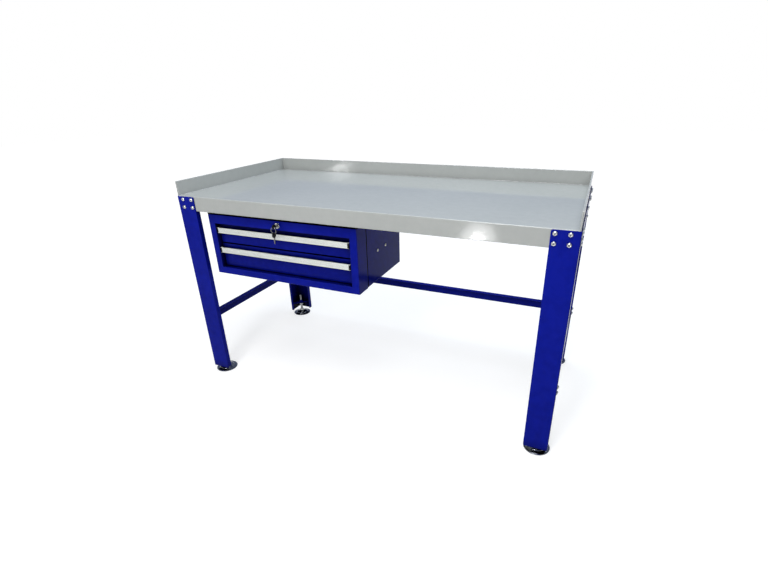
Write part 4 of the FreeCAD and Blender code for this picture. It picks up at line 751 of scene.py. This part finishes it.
def foot_stem(corner, middle):
    low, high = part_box("foot_stem_" + corner)
    flats, collar = high.x - low.x, low.z + SPANNER_HEIGHT
    side = within(hexagon(flats, math.pi / 2), flats * 0.57)
    stations = [(low.z, flats * 0.46), (low.z + SPANNER_BEVEL, side),
                (collar - SPANNER_BEVEL, side), (collar, flats * 0.46),
                (collar, STEM_NECK), (collar + 2 * MM, STEM_NECK)]
    stations += threads(STEM_ROOT, STEM_CREST, STEM_PITCH, collar + 2.2 * MM, high.z - 1.2 * MM)
    stations += [(high.z, STEM_TIP)]
    mesh = bmesh.new()
    turn(mesh, middle, stations, ROUND_24)
    settle(mesh, "stem_" + corner, "zinc_plated_steel", "foot_" + corner, "foot_stem_" + corner)


def levelling_foot(corner):
    low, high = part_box("foot_pad_" + corner)
    middle = Matrix.Translation(((low.x + high.x) / 2, (low.y + high.y) / 2, 0))
    foot_pad(corner, middle)
    foot_stem(corner, middle)


for corner_name in ("front_left", "front_right", "rear_left", "rear_right"):
    levelling_foot(corner_name)

# %% [markdown]
# The pulls are lengths of drawn aluminium. A die leaves shallow flutes along the face, which break
# its reflection into fine lines. They could come from a bump map, but then their ends would be flat
# where the profile is cut off, so the flutes are drawn in the section.

# %% The section of a pull
PULL_DEPTH, PULL_HEIGHT, BACK_HEIGHT, WALL, BEAD = 19.0, 21.0, 16.2, 1.8, 3.2
FLUTES, FLUTE_DEPTH, NOSE = 11, 0.28, 1.1
INNER_FILLET, FLUTE_MARGIN = 0.8, 0.8


def flute(top, pitch):
    return [(0, top), (FLUTE_DEPTH, top - pitch * 0.28), (FLUTE_DEPTH, top - pitch * 0.5),
            (0, top - pitch * 0.78)]


def pull_section():
    """(depth, height) of the pull's outline in mm, from its front bottom edge round to the face."""
    corner = [(NOSE * (1 - math.sin(t)), NOSE * (1 - math.cos(t)))
              for t in (0, 0.4, 0.8, 1.2, math.pi / 2)]
    outline = [(PULL_DEPTH, 0), (PULL_DEPTH, BACK_HEIGHT), (PULL_DEPTH - WALL, BACK_HEIGHT),
               (PULL_DEPTH - WALL, WALL + INNER_FILLET), (PULL_DEPTH - WALL - INNER_FILLET, WALL),
               (WALL + INNER_FILLET, WALL), (WALL, WALL + INNER_FILLET), (WALL, PULL_HEIGHT - BEAD),
               (BEAD, PULL_HEIGHT - WALL), (BEAD, PULL_HEIGHT - 0.5), (BEAD - 0.5, PULL_HEIGHT)]
    outline += [(d, PULL_HEIGHT - h) for d, h in corner]
    pitch = (PULL_HEIGHT - 2 * NOSE - 2 * FLUTE_MARGIN) / FLUTES
    for i in range(FLUTES):
        outline += flute(PULL_HEIGHT - NOSE - FLUTE_MARGIN - pitch * i, pitch)
    return outline + corner[::-1]


print("the section of a pull has", len(pull_section()), "corners")

# %% [markdown]
# Each pull is cut off and closed with two black end plugs, and at each end a thin edge of metal
# runs on over the plug. Curves with a bevel could draw both, but a closed outline that is pushed
# along the drawer gives one clean solid for each.

# %% Aluminium pulls
LIP, LIP_SET_BACK, TOP_LIP_DEPTH = 0.9, 0.3, 8
PLUG_SHORT, PLUG_ROUND = 0.4 * MM, 0.7 * MM


def push(mesh, outline, origin, start, finish):
    """Pushes a (depth, height) outline along X from start to finish."""
    prism(mesh, *[[(x, origin[0] + d * MM, origin[1] + h * MM) for d, h in outline]
                  for x in (start, finish)])


def slab(depth_low, depth_high, low, high):
    return [(depth_low, low), (depth_high, low), (depth_high, high), (depth_low, high)]


def pull(side):
    low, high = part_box(side + "_drawer_handle")
    cap_low, cap_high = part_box(side + "_handle_caps")
    origin = (low.y, low.z)
    metal = bmesh.new()
    push(metal, pull_section(), origin, low.x, high.x)
    for start, finish in ((cap_low.x, low.x), (high.x, cap_high.x)):
        push(metal, slab(LIP_SET_BACK, PULL_DEPTH, 0, LIP), origin, start, finish)
        push(metal, slab(LIP_SET_BACK, TOP_LIP_DEPTH, PULL_HEIGHT - LIP, PULL_HEIGHT), origin,
             start, finish)
    settle(metal, side + "_pull", "anodised_aluminium", side + "_drawer", side + "_drawer_handle")
    plugs = bmesh.new()
    for start, finish in ((cap_low.x + PLUG_SHORT, low.x), (high.x, cap_high.x - PLUG_SHORT)):
        push(plugs, slab(0.6, PULL_DEPTH - 0.2, LIP, PULL_HEIGHT - LIP), origin, start, finish)
    bmesh.ops.bevel(plugs, geom=plugs.edges[:], offset=PLUG_ROUND, segments=2, affect="EDGES",
                    profile=0.5)
    settle(plugs, side + "_pull_plugs", "black_plastic", side + "_drawer", side + "_handle_caps")


for drawer in ("upper", "lower"):
    pull(drawer)

# %% [markdown]
# Each pull is riveted on with three blind rivets, and each drawer front is fixed from inside with
# four sheet-metal screws. A blind rivet shows a shallow dome with a dimple where its pin broke off,
# and a screw a pan head with a cross. The dimple and the cross could be cut with a boolean, but
# turned like the bolts, they are the first stations.

# %% Rivets and screws
def blind_rivet(mesh, fixing, _spin):
    """A rivet is round, so it has no use for a spin."""
    radius, height = fixing.head_radius * HEAD_SHARE, fixing.head_height
    shank, pin = fixing.shank_radius * 0.95, radius * 0.28
    stations = [(height * 0.35, pin * 0.6), (height * 0.55, pin), (height, pin * 1.15)]
    stations += dome(radius, height, height * 0.12, pin * 1.5)
    stations += [(0, radius * 0.98), (0, shank), (-fixing.length, shank * 0.94)]
    turn(mesh, fixing.place, stations, ROUND_24)


def crossed(reach, half_width, spin):
    """Radius of a cross-shaped recess."""
    def radius(angle):
        off = (angle - spin + math.pi / 4) % (math.pi / 2) - math.pi / 4
        return min(reach / math.cos(off), half_width / max(abs(math.sin(off)), 1e-9))
    return radius


def cross_screw(mesh, fixing, spin):
    radius, height, shank = fixing.head_radius * HEAD_SHARE, fixing.head_height, fixing.shank_radius
    arm, width = radius * 0.55, radius * 0.13
    stations = [(height * 0.3, crossed(arm * 0.45, width, spin)),
                (height - 0.1 * MM, crossed(arm * 0.95, width, spin)),
                (height, crossed(arm * 1.0, width, spin))]
    stations += dome(radius, height, height * 0.3, arm * 1.12)
    stations += [(height * 0.1, radius), (0, radius * 0.96), (0, shank)]
    stations += threads(shank * 0.75, shank, 1.2 * MM, -0.2 * MM, -fixing.length + 0.4 * MM)
    stations += [(-fixing.length, shank * 0.4)]
    turn(mesh, fixing.place, stations, [angle + spin for angle in circle(32)])


def small_fixings(node, name, make, body):
    mesh = bmesh.new()
    for index, fixing in enumerate(fixings(node)):
        make(mesh, fixing, index * GOLDEN_TURN)
    settle(mesh, name, "zinc_plated_steel", body, node)


for drawer in ("upper", "lower"):
    body_name = drawer + "_drawer"
    small_fixings(drawer + "_handle_rivets", drawer + "_pull_rivets", blind_rivet, body_name)
    small_fixings(drawer + "_front_screws", drawer + "_cross_screws", cross_screw, body_name)
small_fixings("cam_screw", "cam_cross_screw", cross_screw, "lock")

# %% [markdown]
# The cam lock is a chromed barrel with a rounded flange, fixed in the cabinet's top rail. It could
# be a tube with a disc in front, but the flange of a real one is turned with a soft shoulder and
# the barrel behind it is threaded. It's turned as a ring, about an axis that runs into the cabinet.

# %% The lock's barrel
LOCK_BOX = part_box("lock_housing")
LOCK_SEAT = 2.4 * MM
LOCK_X, LOCK_Z = ((LOCK_BOX[0][i] + LOCK_BOX[1][i]) / 2 for i in (0, 2))
TO_THE_FRONT = Matrix(((1, 0, 0), (0, 0, -1), (0, 1, 0))).to_4x4()
LOCK_PLACE = Matrix.Translation((LOCK_X, LOCK_BOX[0].y + LOCK_SEAT, LOCK_Z)) @ TO_THE_FRONT
BARREL_PROFILE = [(-25, 6.1), (1.9, 6.1), (2.4, 6.6), (2.4, 7.0), (2.4, 9.0), (2.25, 10.0),
                  (1.8, 10.7), (1.0, 11.0), (0.0, 11.0), (0.0, 9.0)]
print("lock axis at", round(LOCK_X, 4), round(LOCK_Z, 4))


def lock_barrel():
    stations = in_metres(BARREL_PROFILE)
    stations += threads(8.5 * MM, 9 * MM, 1.5 * MM, -0.5 * MM, -24 * MM)
    stations += [(-25 * MM, 8.2 * MM)]
    mesh = bmesh.new()
    turn(mesh, LOCK_PLACE, stations, circle(48), ring=True)
    settle(mesh, "lock_barrel", "lock_chrome", "bench", "lock_housing")


lock_barrel()

# %% [markdown]
# A plug turns in the barrel, and the keyway is a plain slot in its face. The slot could be a dark
# patch, but the key goes into it, so it's open. The plug is turned from the bottom of its slot
# outwards, with a step of the lathe at each of the slot's four corners, so that they stay sharp.

# %% The lock's plug
SLOT_HALF_X, SLOT_HALF_Z = 1.3 * MM, 3.8 * MM
PLUG_FACE = [(3.2, 6.2), (3.0, 7.1), (2.7, 7.5), (2.5, 7.4), (2.5, 6.0), (-25.4, 6.0)]


def slotted(half_x, half_y):
    """Radius of a straight-sided slot."""
    def radius(angle):
        across, along = abs(math.cos(angle)), abs(math.sin(angle))
        return min(half_x / max(across, 1e-9), half_y / max(along, 1e-9))
    return radius


def keyed_plug():
    slot_corners = {math.atan2(z, x) % math.tau for x in (SLOT_HALF_X, -SLOT_HALF_X)
                    for z in (SLOT_HALF_Z, -SLOT_HALF_Z)}
    slot = slotted(SLOT_HALF_X, SLOT_HALF_Z)
    stations = [(-16.3 * MM, slot), (2.9 * MM, slot),
                (3.2 * MM, lambda angle: slot(angle) + 0.35 * MM)]
    stations += in_metres(PLUG_FACE)
    mesh = bmesh.new()
    turn(mesh, LOCK_PLACE, stations, sorted(set(circle(48)) | slot_corners))
    settle(mesh, "keyed_plug", "lock_chrome", "lock", "lock_plug")


keyed_plug()

# %% [markdown]
# The keys have round moulded bows with a raised rim and a hole near the edge for the ring. A
# boolean could cut the hole, but it leaves long thin faces that shade badly. So the bow is a row of
# rings of corners, whose centre slides from the hole's middle to the bow's as they grow.

# %% Key bows
BOW_SECTION = [(0.0, 0.55), (0.0, 0.85), (0.08, 1.0), (0.22, 0.98), (0.3, 0.72), (0.7, 0.72),
               (0.78, 0.98), (0.93, 1.0), (0.985, 0.8), (1.0, 0.45)]
BOW_HOLE, HOLE_SHIFT = 2.3 * MM, 5.7 * MM


def key_bow(node, name, body, hole_shift):
    """A bow lies in the YZ plane; hole_shift is from its middle to its hole, as (y, z)."""
    low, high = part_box(node)
    middle = (low + high) / 2
    half, rim = (high.x - low.x) / 2, (high.y - low.y) / 2
    mesh = bmesh.new()
    loops = []
    for side, section in ((1, BOW_SECTION), (-1, BOW_SECTION[::-1])):
        for share, thick in section:
            shift = Vector(hole_shift) * (1 - share)
            radius = BOW_HOLE + (rim - BOW_HOLE) * share
            x, y, z = middle.x + side * half * thick, middle.y + shift.x, middle.z + shift.y
            loops.append([mesh.verts.new((x, y + radius * math.cos(a), z + radius * math.sin(a)))
                          for a in circle(48)])
    for one, other in zip(loops, loops[1:] + loops[:1]):
        skin(mesh, one, other)
    settle(mesh, name, "key_plastic", body, node, sharp=50)


key_bow("key_bow", "moulded_key_bow", "key", (-HOLE_SHIFT, 0))
key_bow("spare_key_bow", "moulded_spare_bow", "spare_key", (0, HOLE_SHIFT))

# %% [markdown]
# A split ring is one flat wire, wound nearly twice round, so that a key can be led on between its
# turns. A torus would be simpler, but it has no split. Here a flattened ring of corners goes round
# the winding and moves sideways by the wire's thickness as it does.

# %% Split ring
RING_TURNS, RING_STEPS, RING_START, WIRE_SIDES = 1.94, 120, 0.4, 10
RING_RADIUS, RING_PITCH = 11, 0.86
WIRE_WIDE, WIRE_THICK = 0.82, 0.42


def split_ring():
    low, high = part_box("key_ring")
    middle = (low + high) / 2
    mesh = bmesh.new()
    loops = []
    for step in range(RING_STEPS + 1):
        share = step / RING_STEPS
        angle = math.tau * RING_TURNS * share + RING_START
        outward = Vector((math.cos(angle), 0, math.sin(angle)))
        sideways = Vector((0, (share - 0.5) * RING_PITCH * MM, 0))
        centre = middle + outward * RING_RADIUS * MM + sideways
        loops.append([mesh.verts.new(centre + outward * WIRE_WIDE * MM * math.cos(a)
                                     + Vector((0, WIRE_THICK * MM * math.sin(a), 0)))
                      for a in circle(WIRE_SIDES)])
    for one, other in zip(loops, loops[1:]):
        skin(mesh, one, other)
    close(mesh, loops)
    settle(mesh, "split_ring", "lock_chrome", "ring", "key_ring", sharp=50)


split_ring()

# %% [markdown]
# The bench stands on a plain pale floor. Its surface is diffuse and takes the shadow, and a little
# light of its own, which only the camera and reflections see, lifts it to white where nothing
# shades it. A white paint under strong lamps would do the same, but it would also light the bench
# from below and wash out its colours.

# %% Floor
FLOOR_HALF = 14
NEAR_LIFT, FAR_LIFT = 0.68, 0.96
NEAR, FAR = 1.2, 5
SHOWN_RAYS = ["Is Camera Ray", "Is Glossy Ray", "Is Transmission Ray"]


def ray_share(tree, kinds):
    """1 for rays of these kinds, else 0."""
    path = add(tree, "LightPath")
    share = path.outputs[kinds[0]]
    for kind in kinds[1:]:
        either = add(tree, "Math", {0: share, 1: path.outputs[kind]}, operation="MAXIMUM")
        share = either.outputs[0]
    return share


def floor_finish():
    material, tree, shader = new_finish("floor", 0)
    shader.inputs["Specular IOR Level"].default_value = 0
    shader.inputs["Roughness"].default_value = 0.9
    patches = remap(tree, grain(tree, 1.5), 0.3, 0.7, 0, 1)
    colour = blend(tree, patches, (0.46, 0.46, 0.46), (0.5, 0.5, 0.5))
    tree.links.new(colour, shader.inputs["Base Color"])
    own = add(tree, "TexCoord").outputs["Object"]
    reach = add(tree, "VectorMath", {0: own}, operation="LENGTH").outputs["Value"]
    lift = remap(tree, reach, NEAR, FAR, NEAR_LIFT, FAR_LIFT)
    glow = add(tree, "Emission", {"Strength": product(tree, ray_share(tree, SHOWN_RAYS), lift)})
    both = add(tree, "AddShader", {0: shader.outputs[0], 1: glow.outputs[0]})
    tree.links.new(both.outputs[0], tree.nodes["Material Output"].inputs["Surface"])
    return material


def lay_floor():
    corners = [(-FLOOR_HALF, -FLOOR_HALF, 0), (FLOOR_HALF, -FLOOR_HALF, 0),
               (FLOOR_HALF, FLOOR_HALF, 0), (-FLOOR_HALF, FLOOR_HALF, 0)]
    data = bpy.data.meshes.new("floor")
    data.from_pydata(corners, [], [(0, 1, 2, 3)])
    data.materials.append(floor_finish())
    floor = bpy.data.objects.new("floor", data)
    bpy.context.scene.collection.objects.link(floor)


lay_floor()
print("floor", 2 * FLOOR_HALF, "m wide, lifted by", NEAR_LIFT, "to", FAR_LIFT)

# %% [markdown]
# The surroundings are white to the camera. Reflections see them white near the horizon and darker
# above, as under a studio's ceiling. They could be white all round, but then the glossy enamel
# would show more sky than colour. Everything else gets a weaker, slightly cool light from them.

# %% Surroundings
AMBIENT, AMBIENT_COLOUR = 0.16, (0.92, 0.96, 1.0, 1)
WHITE, CEILING = (1, 1, 1), (0.17, 0.2, 0.3)
CEILING_START, CEILING_FULL = 0.05, 0.18


def light_surroundings():
    world = bpy.data.worlds.new("studio")
    world.use_nodes = True
    bpy.context.scene.world = world
    tree = world.node_tree
    ambient = tree.nodes["Background"]
    ambient.inputs["Color"].default_value = AMBIENT_COLOUR
    ambient.inputs["Strength"].default_value = AMBIENT
    heading = add(tree, "TexCoord").outputs["Generated"]
    upward = add(tree, "SeparateXYZ", {0: heading}).outputs["Z"]
    height = remap(tree, upward, CEILING_START, CEILING_FULL, 0, 1)
    mirrored = add(tree, "Background", {"Color": blend(tree, height, WHITE, CEILING),
                                        "Strength": 1.0})
    seen = add(tree, "Background", {"Color": (*WHITE, 1), "Strength": 1.0})
    in_gloss = ray_share(tree, ["Is Glossy Ray", "Is Transmission Ray"])
    around = add(tree, "MixShader", {0: in_gloss, 1: ambient.outputs[0], 2: mirrored.outputs[0]})
    in_camera = ray_share(tree, ["Is Camera Ray"])
    around = add(tree, "MixShader", {0: in_camera, 1: around.outputs[0], 2: seen.outputs[0]})
    tree.links.new(around.outputs[0], tree.nodes["World Output"].inputs["Surface"])


light_surroundings()
print("surroundings light the bench at", AMBIENT)

# %% [markdown]
# Four broad lamps make the soft light: one in front models the folds, one on the ceiling in front
# lights the apron, a cool one hangs over the worktop, and one stands behind. A weak one fills the
# right side. The three small round lamps are placed only for their reflections: glossy enamel shows
# a lamp as a soft spot, and each spot's place follows from the mirror direction at that point of
# the sheet. One large lamp could light it all, but it would give no spots.

# %% Lamps
def lamp(name, place, target, width, watts, colour=(1, 1, 1), seen_in_gloss=True, disk=False):
    data = bpy.data.lights.new(name, "AREA")
    data.shape = "DISK" if disk else "SQUARE"
    data.size, data.energy, data.color = width, watts, colour
    holder = bpy.data.objects.new(name, data)
    holder.location = place
    aim = Vector(target) - Vector(place)
    holder.rotation_euler = aim.to_track_quat("-Z", "Y").to_euler()
    holder.visible_camera = False
    holder.visible_glossy = seen_in_gloss
    bpy.context.scene.collection.objects.link(holder)
    print(name, watts, "W")


APRON_POINT = (0.486, -0.347, 0.777)
lamp("key", (0.0, -2.7, 2.15), (0, -0.3, 0.5), 0.7, 35)
lamp("front_ceiling", (0.3, -1.5, 3.1), (0, -0.3, 0.6), 1.4, 50, (0.97, 0.99, 1.0))
lamp("overhead", (0.2, 1.0, 3.1), (0, 0.3, 0.75), 2.4, 66, (0.77, 0.88, 1.0))
lamp("fill", (2.7, -0.9, 3.0), (-0.2, 0, 0.8), 1.6, 4.5, (0.9, 0.96, 1.0), seen_in_gloss=False)
lamp("rear", (-2.6, 3.6, 0.85), (0, 0, 0.5), 1.2, 26, seen_in_gloss=False)
lamp("apron_spot", (0.028, -2.2, 0.16), APRON_POINT, 0.07, 1.3, disk=True)
lamp("apron_glow", (0.028, -2.21, 0.16), APRON_POINT, 0.26, 1.2, disk=True)
lamp("wall_spot", (-2.1, -2.54, 1.23), (-0.376, 0.34, 0.85), 0.2, 4.5, disk=True)

# %% [markdown]
# The last step sets the view. The plain Standard view shows colours about as they are written. A
# film-like view would look softer, but it would shift the paints.

bpy.context.scene.view_settings.view_transform = "Standard"
